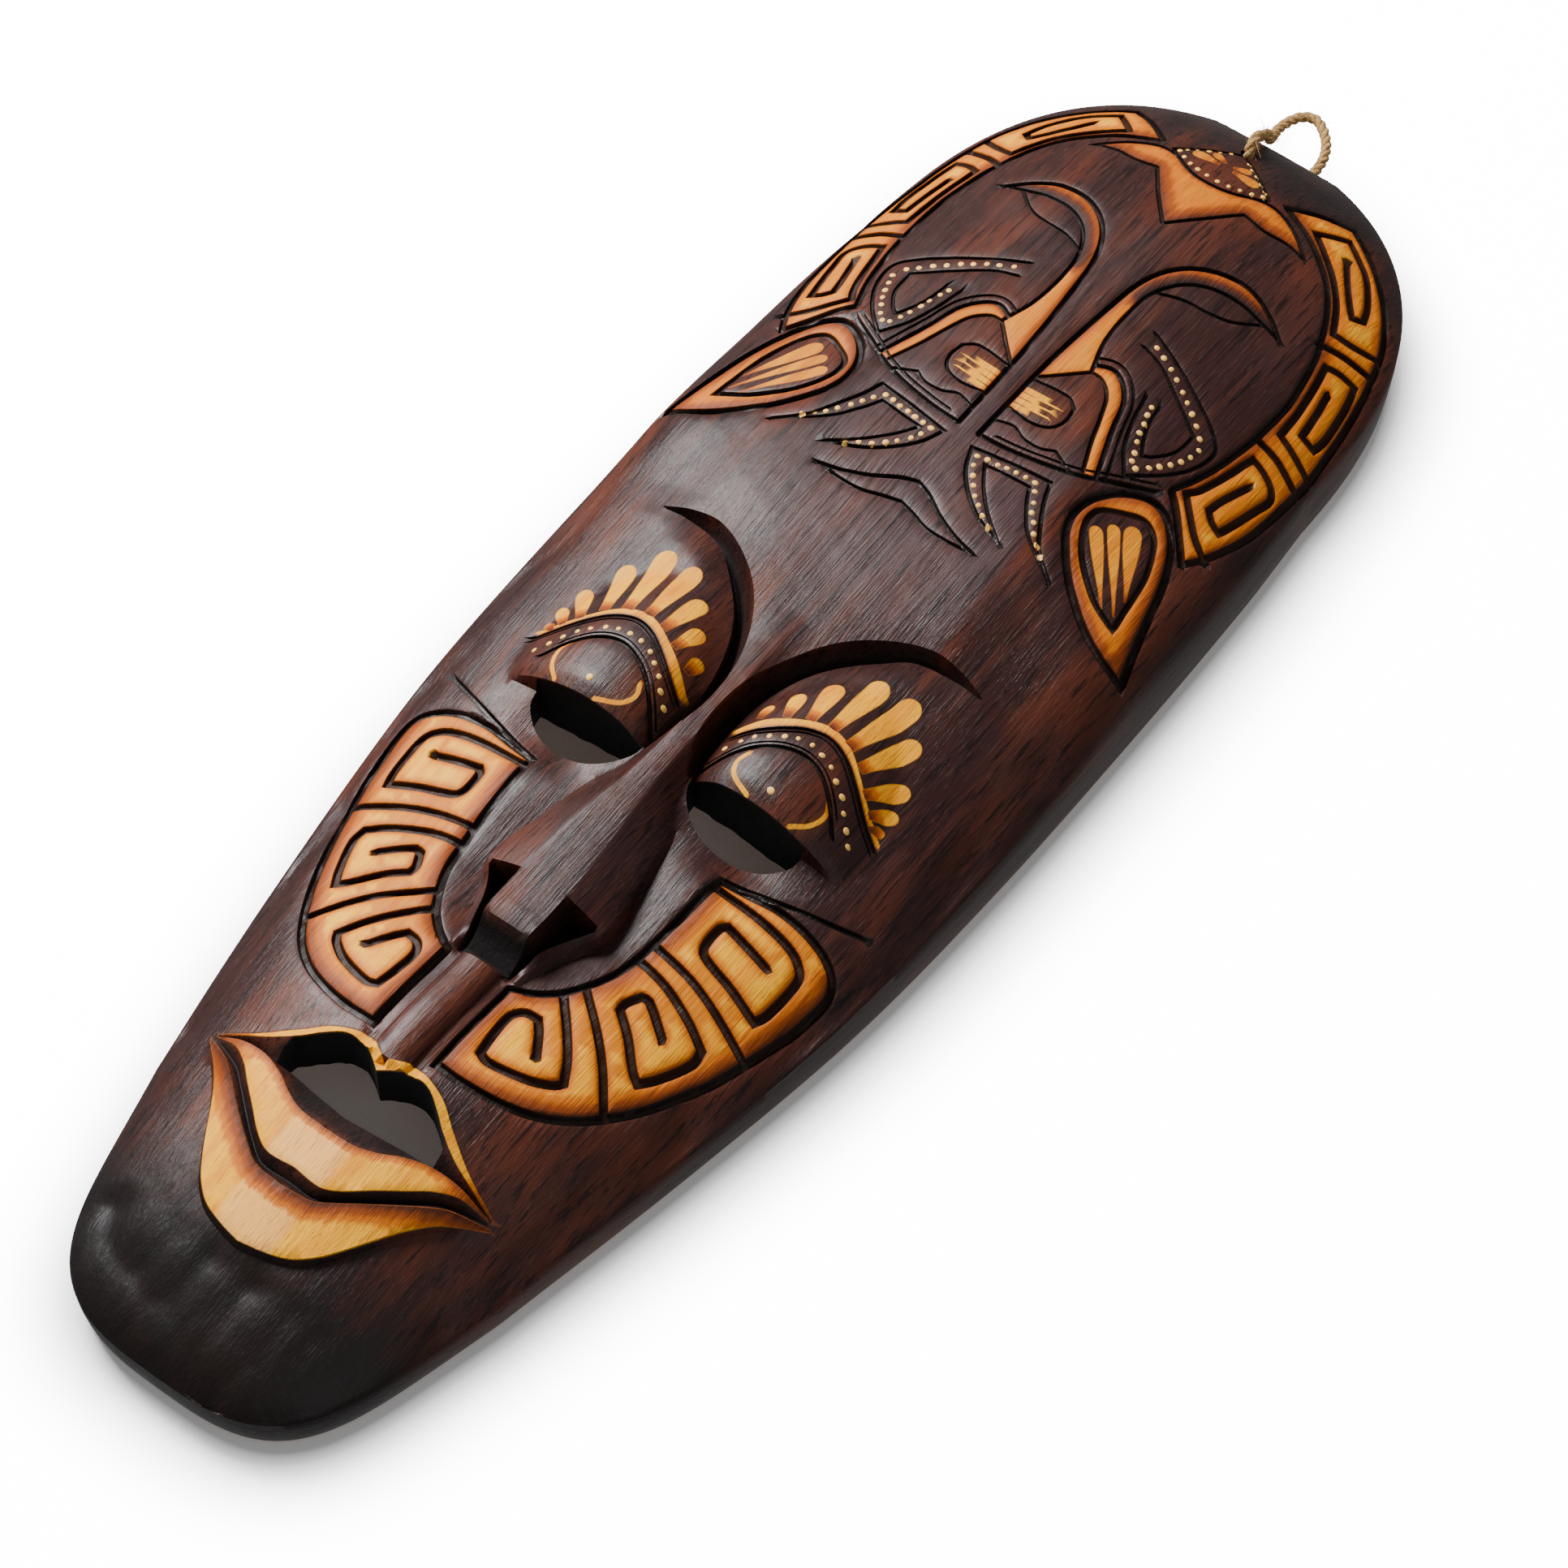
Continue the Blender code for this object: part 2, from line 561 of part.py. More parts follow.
def mouth_outline():
    """The opening between the lips, clockwise from the middle of the upper lip."""
    upper = [point for point in LIP_INNER if point[0] < MOUTH_END]
    lower = [point for point in MOUTH_FOOT if point[0] < MOUTH_END][::-1]
    return mirrored(upper + [(MOUTH_END, -166.6)] + lower)


def build_mask(material):
    """The carved front, the hollow back, the rim and the walls of every opening."""
    outline = mirrored(right_outline(11, 11))
    rim = inward(outline, RIM_INSET / U)
    inner = inward(outline, (RIM_INSET + RIM_WIDTH) / U)
    holes = [EYE, [(-x, y) for x, y in EYE], mouth_outline(), circle(BORE, BORE_RADIUS, 10)]

    face = Sheet()
    face.line(outline, ring=True)
    for hole in holes:
        face.line(hole, ring=True)
    for line, half, deep in CARVED:
        for side in both_sides(line):
            for edge in [side] + beside(side, half):
                face.line(edge)
    for curve, rise in LIP_RISE:
        shift = 0.9 if curve is LIP_TOP else -1.2 if curve is CHIN_FOOT else 0
        for side in both_sides(curve):
            face.line(side)
            if shift:
                face.line([(x, y + shift) for x, y in side])
    for line in (BROW, SOCKET, [(44.5, EYE_TOP), (55, EYE_TOP)],
                 [(44.5, EYE_TOP - 0.8), (56, EYE_TOP - 0.8)]):
        for side in both_sides(line):
            face.line(side)
    for line in [beside(SOCKET, 0.7)[0], beside(SOCKET, 0.7)[1]]:
        face.line(line)
        face.line([(-x, y) for x, y in line])
    for table, shift in ((NOSE_FACET, 0), (NOSE_FACET, 1), (NOSE_WING, 0), (NOSE_WING, 1.6),
                         (NOSTRIL, 0), (NOSTRIL, -1.6)):
        for side in both_sides([(width + shift, y) for y, width in sorted(table)]):
            face.line(side)
    for offset in (0, 3.2, 5.4, 6.3):
        for side in both_sides([(offset, -118), (offset, -156)]):
            face.line(side)
    for inset in (1.6, 4.5, 9):
        face.line(inward(outline, inset), ring=True)
    for row in range(-20, 21):
        for column in range(-6, 7):
            spot = ((column + 0.5 * (row % 2)) * 12.4, row * 12)
            if distance(spot, closed(outline)) > 12 and groove(*spot) == 0:
                face.dot(spot)
    for row in range(-38, 24, 6):
        for column in range(11, 56, 6):
            if inside((column, row), DOME) and groove(column, row) == 0:
                face.dot((column, row))
                face.dot((-column, row))

    back = Sheet()
    back.line(rim, ring=True)
    back.line(inner, ring=True)
    for hole in holes:
        back.line(hole, ring=True)
    for inset in (1.5, 6, 16):
        back.line(inward(inner, inset), ring=True)
    reach = NOTCH_SIDE + CORD_DIAMETER / 2 / U
    for offset in (-reach - 1.1, -reach, reach, reach + 1.1):
        back.line([(NOTCH_X + offset, NOTCH_FOOT), (NOTCH_X + offset, END + 6)])
    for row in range(-20, 21):
        for column in range(-4, 5):
            spot = (column * 13.0, row * 11.0)
            if inside(spot, inner) and distance(spot, closed(inner)) > 22:
                back.dot(spot)

    shell = Shell()
    points, faces = face.triangles(outline, holes)
    upper_corners = shell.add(points, faces, front)
    upper_loops = [[upper_corners[i] for i in loop] for loop in loops(faces)]

    points, faces = back.triangles(rim, holes)
    lower_corners = shell.add(points, faces,
                              lambda x, y: max(hollow(x, y, inner), notch(x, y)))
    lower_loops = [[lower_corners[i] for i in loop] for loop in loops(faces)]

    for upper in upper_loops:
        middle = sum((corner.co.xy for corner in upper), Vector((0, 0))) / len(upper)
        lower = min(lower_loops, key=lambda loop: (middle - sum(
            (corner.co.xy for corner in loop), Vector((0, 0))) / len(loop)).length
            + abs(len(loop) - len(upper)) * 1e-6)
        lower_loops.remove(lower)
        shell.wall(upper, lower)
    return shell.finish("mask", material)


# Hanging loop: over the upper edge, round on the table and in under the rim
CORD_ROUTE = [(0, 231.5, 31), (0, 231.6, 34.8), (-0.2, 233, 37.4), (-0.7, 236.2, 37.6),
              (-1.5, 240.2, 34), (-2.7, 244.6, 29.8), (-4.3, 249.2, 24.8), (-6, 253.2, 19.4),
              (-8, 257.2, 13.6), (-10.2, 261.6, 8), (-12, 266.6, 3.9), (-13, 271.6, 2),
              (-12.2, 276.4, 1.55), (-10, 280, 1.55), (-6.4, 281.4, 1.55),
              (-2.3, 279.2, 1.55), (1.6, 275, 1.55), (4.2, 269.4, 1.55), (5, 262.6, 1.55),
              (5, 255.6, 1.55), (5, 249, 1.7), (5, 242, 1.8), (5, 236, 1.8),
              (5, 230.5, 1.8)]
KNOT_RADIUS = 0.0042


def smooth_route(route, steps):
    """A smooth curve through the points of a route."""
    points = [Vector(point) for point in route]
    result = []
    for index in range(len(points) - 1):
        before = points[max(0, index - 1)]
        here = points[index]
        after = points[index + 1]
        beyond = points[min(len(points) - 1, index + 2)]
        result += interpolate_bezier(here, here + (after - before) / 6,
                                     after - (beyond - here) / 6, after, steps + 1)[:-1]
    return result + [points[-1]]


def build_cord(material):
    """The cord as a plain tube along its route."""
    points = [point * 0.001 for point in smooth_route(CORD_ROUTE, 2)]
    data = bpy.data.curves.new("hanging_cord", "CURVE")
    data.dimensions = "3D"
    data.bevel_depth = CORD_DIAMETER / 2
    data.bevel_resolution = 2
    data.use_fill_caps = True
    spline = data.splines.new("POLY")
    spline.points.add(len(points) - 1)
    for spot, point in zip(spline.points, points):
        spot.co = (*point, 1)
    return place("hanging_cord", data, material)


def build_knot(material):
    """The knot on the cord's end, inside the hollow."""
    end = Vector(CORD_ROUTE[-1]) * 0.001
    mesh = bmesh.new()
    bmesh.ops.create_uvsphere(mesh, u_segments=12, v_segments=8, radius=KNOT_RADIUS)
    data = bpy.data.meshes.new("cord_knot")
    mesh.to_mesh(data)
    mesh.free()
    item = place("cord_knot", data, material)
    item.scale = (1, 1, 0.86)
    item.location = (end.x, end.y - KNOT_RADIUS - TOUCH_GAP, KNOT_RADIUS * 0.86 + 0.0001)
    return item


def build():
    for item in list(bpy.data.objects):
        bpy.data.objects.remove(item)
    wood = finish_of("carved_wood", (0.10, 0.055, 0.045), 0.42)
    jute = finish_of("jute", (0.52, 0.38, 0.23), 0.9)
    mask = build_mask(wood)
    build_cord(jute)
    build_knot(jute)
    print("mask corners", len(mask.data.vertices), "faces", len(mask.data.polygons))


build()
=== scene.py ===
# %% [markdown]
# A carved wooden mask, dressed for its picture
#
# The mask is one long piece of soft wood, about half a metre from crown to chin. Its face
# is stained dark, the carved bands are left light and burnt at their edges, and small cream
# dots are dabbed on. A loop of jute twine hangs from a bore near the crown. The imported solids
# are loaded first, so that every piece made here sits in the same place as the real part.

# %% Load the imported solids
import bpy
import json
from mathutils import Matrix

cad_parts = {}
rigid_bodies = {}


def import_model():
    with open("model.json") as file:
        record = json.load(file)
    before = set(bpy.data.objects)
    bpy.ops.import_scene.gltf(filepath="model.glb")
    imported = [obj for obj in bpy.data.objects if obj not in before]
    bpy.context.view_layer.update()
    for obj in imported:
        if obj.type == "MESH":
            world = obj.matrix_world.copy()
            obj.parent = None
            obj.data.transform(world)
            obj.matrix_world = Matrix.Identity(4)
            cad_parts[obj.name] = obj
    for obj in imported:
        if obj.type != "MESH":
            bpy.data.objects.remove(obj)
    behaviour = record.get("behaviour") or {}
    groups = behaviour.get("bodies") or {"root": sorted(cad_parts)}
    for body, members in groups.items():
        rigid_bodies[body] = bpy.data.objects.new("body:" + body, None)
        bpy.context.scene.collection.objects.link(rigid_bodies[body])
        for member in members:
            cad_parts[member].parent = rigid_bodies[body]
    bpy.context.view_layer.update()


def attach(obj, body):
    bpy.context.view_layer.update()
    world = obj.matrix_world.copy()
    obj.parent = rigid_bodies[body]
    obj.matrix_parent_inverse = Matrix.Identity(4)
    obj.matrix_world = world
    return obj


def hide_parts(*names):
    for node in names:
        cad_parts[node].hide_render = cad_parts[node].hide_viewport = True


for item in list(bpy.data.objects):
    bpy.data.objects.remove(item)
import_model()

import json
import math
import numpy as np
from mathutils import Vector
from mathutils.geometry import delaunay_2d_cdt, interpolate_bezier

MM = 0.001

# %% [markdown]
# The camera
#
# The picture looks down on the lying mask, with the chin at the lower left. A long lens far
# away gives the flat perspective of a product shot. The camera is placed by three plain
# facts: the point that it looks at, the two angles of its line of sight and its distance.

# %% Place the camera
TURN = math.radians(37.267)
TILT = math.radians(55.534)
TARGET = Vector((0.012312, -0.006653, 0.0))
DISTANCE = 1.325731
FOCAL_PIXELS = 6000
PHOTO_PIXELS = 1932

camera_data = bpy.data.cameras.new("camera")
camera_data.sensor_width = 36
camera_data.lens = 36 * FOCAL_PIXELS / PHOTO_PIXELS
camera = bpy.data.objects.new("camera", camera_data)
bpy.context.scene.collection.objects.link(camera)
sight = Vector((math.sin(TURN) * math.cos(TILT), -math.cos(TURN) * math.cos(TILT),
                math.sin(TILT)))
camera.location = TARGET + sight * DISTANCE
camera.rotation_euler = (math.pi / 2 - TILT, 0, TURN)
bpy.context.scene.camera = camera
print("camera lens", round(camera_data.lens, 2), "mm")

# %% [markdown]
# Shader expressions
#
# A finish is easier to read as a sum than as a list of node links. The first class wraps a
# socket, so that `1 - mask * 0.5` adds the Math nodes that it needs. Colours go through a Mix
# node, because a Math node would turn them grey.

# %% A socket that can be reckoned with
class Value:
    """A socket of a finish. Sums of such values add the Math nodes that they need."""

    def __init__(self, finish, socket):
        self.finish = finish
        self.socket = socket

    def math(self, operation, *others):
        return self.finish.node("ShaderNodeMath", {"operation": operation},
                                dict(enumerate((self,) + others)))

    def __add__(self, other):
        return self.math("ADD", other)

    def __sub__(self, other):
        return self.math("SUBTRACT", other)

    def __rsub__(self, other):
        return self.math("MULTIPLY", -1).math("ADD", other)

    def __mul__(self, other):
        return self.math("MULTIPLY", other)

    __radd__ = __add__
    __rmul__ = __mul__

    def larger(self, other):
        return self.math("MAXIMUM", other)

    def smaller(self, other):
        return self.math("MINIMUM", other)

    def step(self, low, high):
        """0 below low, 1 above high and a soft slope between them."""
        return self.finish.node("ShaderNodeMapRange", {"interpolation_type": "SMOOTHSTEP"},
                                {"Value": self, "From Min": low, "From Max": high})


print("shader sums ready")


# %% A finish and its nodes
class Finish:
    """A material and the nodes that feed its shader."""

    def __init__(self, name):
        self.material = bpy.data.materials.new(name)
        self.material.use_nodes = True
        self.tree = self.material.node_tree

    def fill(self, made, values):
        """Set or link the sockets of a node."""
        for name, value in values.items():
            if isinstance(value, Value):
                self.tree.links.new(value.socket, made.inputs[name])
            else:
                made.inputs[name].default_value = value

    def node(self, kind, settings, values, output=0):
        """Any node: its settings first, then the values or links of its sockets."""
        made = self.tree.nodes.new(kind)
        for name, setting in settings.items():
            setattr(made, name, setting)
        self.fill(made, values)
        return Value(self, made.outputs[output])

    def blend(self, share, first, second):
        """Mix two colours by a share. A plain colour is its red, green and blue."""
        ends = [end if isinstance(end, Value) else (*end, 1) for end in (first, second)]
        return self.node("ShaderNodeMix", {"data_type": "RGBA"},
                         {0: share, 6: ends[0], 7: ends[1]}, 2)

    def place(self):
        """The spot on the piece, in metres."""
        return self.node("ShaderNodeTexCoord", {}, {}, 3)

    def field(self, name):
        """A number that is kept at the corners of the mesh."""
        return self.node("ShaderNodeAttribute", {"attribute_name": name}, {}, 2)

    def noise(self, scale, detail=3.0, rough=0.5):
        """Noise stretched by three scales per metre."""
        spot = self.node("ShaderNodeMapping", {}, {"Vector": self.place(), "Scale": scale})
        return self.node("ShaderNodeTexNoise", {},
                         {"Vector": spot, "Scale": 1.0, "Detail": detail, "Roughness": rough})

    def bump(self, height, strength, depth):
        return self.node("ShaderNodeBump", {},
                         {"Height": height, "Strength": strength, "Distance": depth})

    def feed(self, **inputs):
        """Set or link the shader's own sockets."""
        self.fill(self.tree.nodes["Principled BSDF"],
                  {name.replace("_", " "): value for name, value in inputs.items()})


print("finishes ready")

# %% [markdown]
# Reading tables and lines
#
# The carver's drawing is kept as short lists of points in millimetres, for the right half of
# the mask. Curved stretches are filled in with a smooth curve, and a turn sharper than about
# fifty degrees stays a corner, so one helper serves both leaves and squared keys.

# %% Smooth lines with corners
SHARP = math.radians(48)


def smooth(points, gap=1.2, ring=False):
    """A line through points, curved except at sharp corners, with a point every gap."""
    points = [Vector(point) for point in points]
    count = len(points)
    tangents = []
    for index in range(count):
        before = points[index - 1] if index or ring else points[index]
        after = points[(index + 1) % count] if index < count - 1 or ring else points[index]
        come = points[index] - before
        leave = after - points[index]
        turned = 0
        if come.length > 0 and leave.length > 0:
            turned = come.angle(leave)
        tangents.append(None if turned > SHARP else after - before)
    result = []
    for index in range(count if ring else count - 1):
        here = points[index]
        after = points[(index + 1) % count]
        span = (after - here).length
        first, second = tangents[index], tangents[(index + 1) % count]
        lean_out = (after - here) if first is None else first.normalized() * span
        lean_in = (after - here) if second is None else second.normalized() * span
        steps = max(1, round(span / gap))
        result += interpolate_bezier(here.to_3d(), (here + lean_out / 3).to_3d(),
                                     (after - lean_in / 3).to_3d(), after.to_3d(),
                                     steps + 1)[:-1]
    if not ring:
        result.append(points[-1].to_3d())
    return np.array([point[:2] for point in result])


print("a smooth line turns by less than", round(math.degrees(SHARP)), "degrees at a point")


# %% Lengths and places along lines
def closed(line):
    return np.vstack([line, line[:1]])


def unit(value):
    """A value held between 0 and 1."""
    return np.clip(value, 0, 1)


def run(line):
    """Length of a line up to each of its points."""
    return np.concatenate([[0], np.cumsum(np.linalg.norm(np.diff(line, axis=0), axis=1))])


def spread(line, count):
    """Evenly spaced places along a line."""
    lengths = run(line)
    marks = np.linspace(0, lengths[-1], count)
    return np.column_stack([np.interp(marks, lengths, row) for row in line.T])


def right_half(points):
    """The same points, with those of the left half mirrored to the right."""
    return np.column_stack([np.abs(points[:, 0]), points[:, 1]])


print("length of a corner", run(np.array([(0, 0), (3, 0), (3, 4)]))[-1])


# %% Tables read as smooth curves
def curve(table, column=1):
    """A table as smooth arrays of places and values."""
    rows = sorted((row[0], row[column]) for row in table)
    line = smooth(rows, 1.5)
    order = np.argsort(line[:, 0], kind="stable")
    return line[order, 0], line[order, 1]


def read(table, places):
    return np.interp(places, table[0], table[1])


print("half way up a table", float(read(curve([(0, 0), (2, 1)]), 1.0)))


# %% Distances and insides for many points at once
def distance(points, line, margin=None):
    """Distance from each point to a line; beyond the margin it stays large."""
    best = np.full(len(points), 1e3)
    near = np.arange(len(points))
    if margin is not None:
        low = line.min(axis=0) - margin
        high = line.max(axis=0) + margin
        near = np.nonzero(np.all((points >= low) & (points <= high), axis=1))[0]
    if not len(near):
        return best
    chosen = points[near]
    found = np.full(len(near), 1e6)
    for start, end in zip(line[:-1], line[1:]):
        along = end - start
        size = along @ along
        if size < 1e-12:
            continue
        share = unit(((chosen - start) @ along) / size)
        away = chosen - start - share[:, None] * along
        found = np.minimum(found, np.einsum("ij,ij->i", away, away))
    best[near] = np.sqrt(found)
    return best


def inside(points, outline):
    """Whether each point lies inside a closed outline."""
    result = np.zeros(len(points), bool)
    x, y = points[:, 0], points[:, 1]
    for (ax, ay), (bx, by) in zip(outline, np.roll(outline, -1, axis=0)):
        if ay == by:
            continue
        crosses = ((ay > y) != (by > y)) & (x < (bx - ax) * (y - ay) / (by - ay) + ax)
        result ^= crosses
    return result


print("helpers ready")

# %% [markdown]
# The plain form of the mask
#
# Before any carving the mask is a long shell with a round crown, a flat forehead and
# narrowing cheeks. It could be a subdivided cage, but then its surface would only be near the
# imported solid. Here it is a formula with the solid's own numbers: the height of the middle
# line, the half width and the roundness of the cross section.

# %% The rounded form
CREST = curve([(-250, 12), (-246, 16), (-240, 19.5), (-232, 22.5), (-222, 26), (-205, 30.5),
               (-185, 34.5), (-165, 37.5), (-145, 40), (-120, 38), (-100, 36.5), (-60, 38),
               (-20, 41), (20, 44), (60, 46), (160, 46.5), (185, 46), (205, 43.5),
               (222, 39), (235, 33), (243, 27), (248, 21), (250, 15)])
END, CROWN_FROM, CHIN_FROM = 250, 150, -183
CROWN_HALF, CHIN_HALF = 78.6, 57.4
HALF = curve([(CHIN_FROM, CHIN_HALF), (-121, 69), (-60, 78), (0, 81.2), (60, 81.5),
              (118, 80.5), (CROWN_FROM, CROWN_HALF)])
SECTION = [(-230, 2.2, 0.6), (-172, 2.0, 0.8), (-130, 2.2, 0.8), (-60, 2.2, 0.8),
           (20, 2.5, 0.7), (50, 3.2, 0.5), (70, 3.2, 0.5), (100, 2.4, 0.6),
           (150, 2.0, 0.7), (206, 1.8, 0.8)]
POWER = curve(SECTION, 1)
ROUND = curve(SECTION, 2)
SHOULDER = curve([(-250, 12), (-200, 12), (-155, 14), (-80, 15.5), (-35, 18), (25, 20),
                  (100, 21.5), (145, 22), (175, 20), (250, 21)])
WALL = 14.0
RIM_WIDTH = 11.0
RIM_INSET = 2.0
BORE = (0.0, 231.5)
BORE_RADIUS = 2.4


def half_width(y):
    """Half of the width at each place along the mask."""
    top = unit((y - CROWN_FROM) / (END - CROWN_FROM))
    low = unit((CHIN_FROM - y) / (END + CHIN_FROM))
    crown_end = CROWN_HALF * (1 - top ** 2.6) ** 0.46
    chin_end = (CHIN_HALF - 0.25 * (CHIN_FROM - y)) * (1 - low ** 5.5) ** 0.32
    ends = np.where(y < CHIN_FROM, chin_end, read(HALF, y))
    return np.where(y > CROWN_FROM, crown_end, ends)


def crown(x, y):
    """Height of the uncarved form."""
    share = unit(np.abs(x) / np.maximum(half_width(y), 0.5))
    shoulder = np.minimum(read(SHOULDER, y), read(CREST, y))
    rise = np.maximum(0, read(CREST, y) - shoulder)
    return shoulder + rise * (1 - share ** read(POWER, y)) ** read(ROUND, y)


print("middle height", round(float(crown(np.array([0.0]), np.array([60.0]))[0]), 1), "mm")

# %% [markdown]
# Nose, brow, eyes and mouth
#
# The big forms are heights added to the plain form, because a mask on its back can be read as
# one height over each spot. The nose is a flat ridge between sloping sides. The lips are bands
# whose heights are read from curve to curve. Each eye is a bulging dome behind a deep crescent
# that is cut along the brow.

# %% Brow and eye
BROW = smooth([(54, 26.3), (45, 28.6), (35.5, 28.4), (24.5, 23.4), (14.5, 15.2), (7.5, 4.5),
               (2.8, -8.7), (1.6, -22), (3.4, -34), (6.8, -42)])
SOCKET = smooth([(53, 25.6), (46, 25.7), (33, 23.6), (25.9, 18.5), (16.2, 8.5), (10.5, -1.7),
                 (7.1, -14.7), (6.9, -26), (7.6, -36), (8, -40.5)])
CRESCENT = np.vstack([BROW, SOCKET[::-1]])
EYE_TOP = -40.5
DOME = np.vstack([SOCKET, [(56, EYE_TOP - 0.5), (62, -20), (58, 22)]])
EYE = smooth([(8, EYE_TOP), (44.5, EYE_TOP), (43.6, -45), (39, -49.5), (33, -52.3),
              (26, -53.5), (19, -52.5), (12.5, -48.7), (9, -44.4)], ring=True)
print("eye line", len(EYE), "points, brow", len(BROW))

# %% The nose
NOSE_TOP, NOSE_FOOT = 15, -119
NOSE_FACET = [(20, 0.5), (-10, 2.2), (-50, 3.6), (-75, 6.2), (-95, 7.6), (-108, 7.4), (-118, 7)]
NOSE_WING = [(-30, 7), (-45, 8.5), (-60, 14), (-80, 18), (-92, 19.6), (-99, 15.9), (-107, 12.4),
             (-118, 10)]
FACET, WING = curve(NOSE_FACET), curve(NOSE_WING)
NOSE_RISE = curve([(NOSE_TOP, 0), (-20, 3.6), (-60, 7), (-104, 8), (-108, 7.2),
                   (-111.5, 1.5), (-116, -2.5), (NOSE_FOOT, -1)])
WING_RISE = curve([(-60, 0), (-92, 2.4), (-99, 0), (-118, 0)])
VALLEY = curve([(-48, 0), (-60, -1.8), (-90, -2.6), (-108, -2.6), (NOSE_FOOT, -1)])
NOSTRIL = [(-92, 19), (-99, 14.2), (-107, 10.8), (-118, 8.4)]
NOSTRIL_EDGE = curve(NOSTRIL)
NOSTRIL_TOP, NOSTRIL_DEPTH = -92.5, 5.5


def nostril(x, y):
    """How far a place lies in the pit below the nose's wing, from 0 to 1."""
    start = unit((NOSTRIL_TOP - y) / 1.6) * unit((y - NOSE_FOOT) / 2)
    near = unit(x - read(FACET, y))
    far = unit((read(NOSTRIL_EDGE, y) - x) / 1.6)
    return start * np.minimum(near, far)


def nose(x, y):
    """The nose over the plain form: ridge, sloping sides, wings and the valley outside."""
    facet, wing = read(FACET, y), read(WING, y)
    rise, edge, valley = read(NOSE_RISE, y), read(WING_RISE, y), read(VALLEY, y)
    side = unit((x - facet) / np.maximum(wing - facet, 0.1))
    height = rise + (edge - rise) * side ** 1.08
    drop = unit((x - wing) / 1.6)
    height = np.where(x > wing, edge + (valley - edge) * drop, height)
    height = np.where(x > wing + 1.6, valley * unit(1 - (x - wing - 1.6) / 12), height)
    height += (-NOSTRIL_DEPTH - height) * nostril(x, y)
    return np.where((y > NOSE_TOP) | (y < NOSE_FOOT), 0, height)


print("nose from", NOSE_TOP, "to", NOSE_FOOT, "mm")

# %% The bar below the nose
BAR_TOP, BAR_FOOT = -116, -157
BAR_HALF, BAR_BED = 6.3, 10.5


def philtrum(x, y):
    """The half round bar below the nose, in its sunken bed."""
    end = unit((BAR_TOP - y) / 3)
    bar = end * (-1 + 3.6 * np.sqrt(unit(1 - (x / BAR_HALF) ** 2)))
    bed = -end * unit((BAR_BED - x) / 0.8)
    height = np.where(x < BAR_HALF, bar, bed)
    return np.where((y > BAR_TOP) | (y < BAR_FOOT) | (x > BAR_BED), 0, height)


print("bar", BAR_TOP - BAR_FOOT, "mm long and", 2 * BAR_HALF, "wide")

# %% The lips
LIP_TOP = [(0, -157.2), (3.5, -155.3), (7, -153.2), (12.5, -154), (18.5, -156.2), (25, -160.6),
           (35, -166.4), (45, -170.2)]
LIP_INNER = [(0, -160.3), (4, -157.6), (8, -156), (13.5, -156.2), (18.5, -159), (24, -163),
             (32, -167), (45, -170.6)]
MOUTH_FOOT = [(0, -173.5), (11, -172.3), (22, -170.6), (32, -169.8), (45, -170.8)]
BAND_TOP = [(0, -180.2), (9, -179.6), (15, -177.3), (20, -174.4), (27, -171.6), (34, -170.6),
            (45, -171)]
BAND_FOOT = [(0, -192.6), (8.5, -193), (14, -190.3), (20, -185.4), (26, -180.5), (31, -176.2),
             (37, -172.8), (45, -171.3)]
LIP_TROUGH = [(0, -195.4), (8.7, -195.3), (14.5, -192), (20.5, -187.4), (28, -181.2),
              (34, -176.6), (45.5, -171.8)]
CHIN_BAND = [(0, -198.3), (9, -197.2), (14, -194.2), (20, -190), (26, -185.4), (31, -181.4),
             (37, -177), (46, -172.4)]
CHIN_FOOT = [(0, -215), (6.5, -213.8), (13.5, -211.4), (19, -207), (23.5, -201), (27.5, -194.8),
             (32.5, -187), (38, -180.4), (46.5, -172.8)]
LIP_CURVES = [smooth(line) for line in (LIP_TOP, LIP_INNER, MOUTH_FOOT, BAND_TOP, BAND_FOOT,
                                        LIP_TROUGH, CHIN_BAND, CHIN_FOOT)]
LIP_RISES = [0.2, 1.6, -2.5, 2.4, 2.6, -0.6, 3.0, 2.2]
MOUTH_END, LIP_END = 26, 46
LIP_FROM, LIP_DOWN_TO = -150, -218
print("lip curves", len(LIP_CURVES))


# %% Height and shade of the lips
def lips(x, y):
    """The lip bands, read from curve to curve."""
    fade = unit((LIP_END - x) / 9)
    levels = [np.interp(x, line[:, 0], line[:, 1]) for line in LIP_CURVES]
    levels = [levels[0] + 0.9] + levels + [levels[-1] - 1.2]
    rises = [0] + LIP_RISES + [0]
    height = np.zeros_like(x)
    for index in range(len(levels) - 1):
        high, low = levels[index], levels[index + 1]
        share = unit((high - y) / np.maximum(high - low, 0.01))
        value = rises[index] + (rises[index + 1] - rises[index]) * share
        height = np.where((y <= high) & (y >= low), value * fade, height)
    return np.where((x > LIP_END) | (y > LIP_FROM) | (y < LIP_DOWN_TO), 0, height)


def lip_shadow(x, y):
    """Darkness of the trough below the lower lip and of the mouth's corners."""
    rows = [np.interp(x, line[:, 0], line[:, 1]) for line in LIP_CURVES]
    trough = unit((rows[4] - y) / 0.7) * unit((y - rows[6]) / 0.7)
    mouth = unit((rows[1] - y) / 1.4) * unit((y - rows[3]) / 0.8)
    return np.where(x < 45, np.maximum(trough * 0.92, mouth * 0.8), 0)


print("lips rise by", max(LIP_RISES), "mm at most")


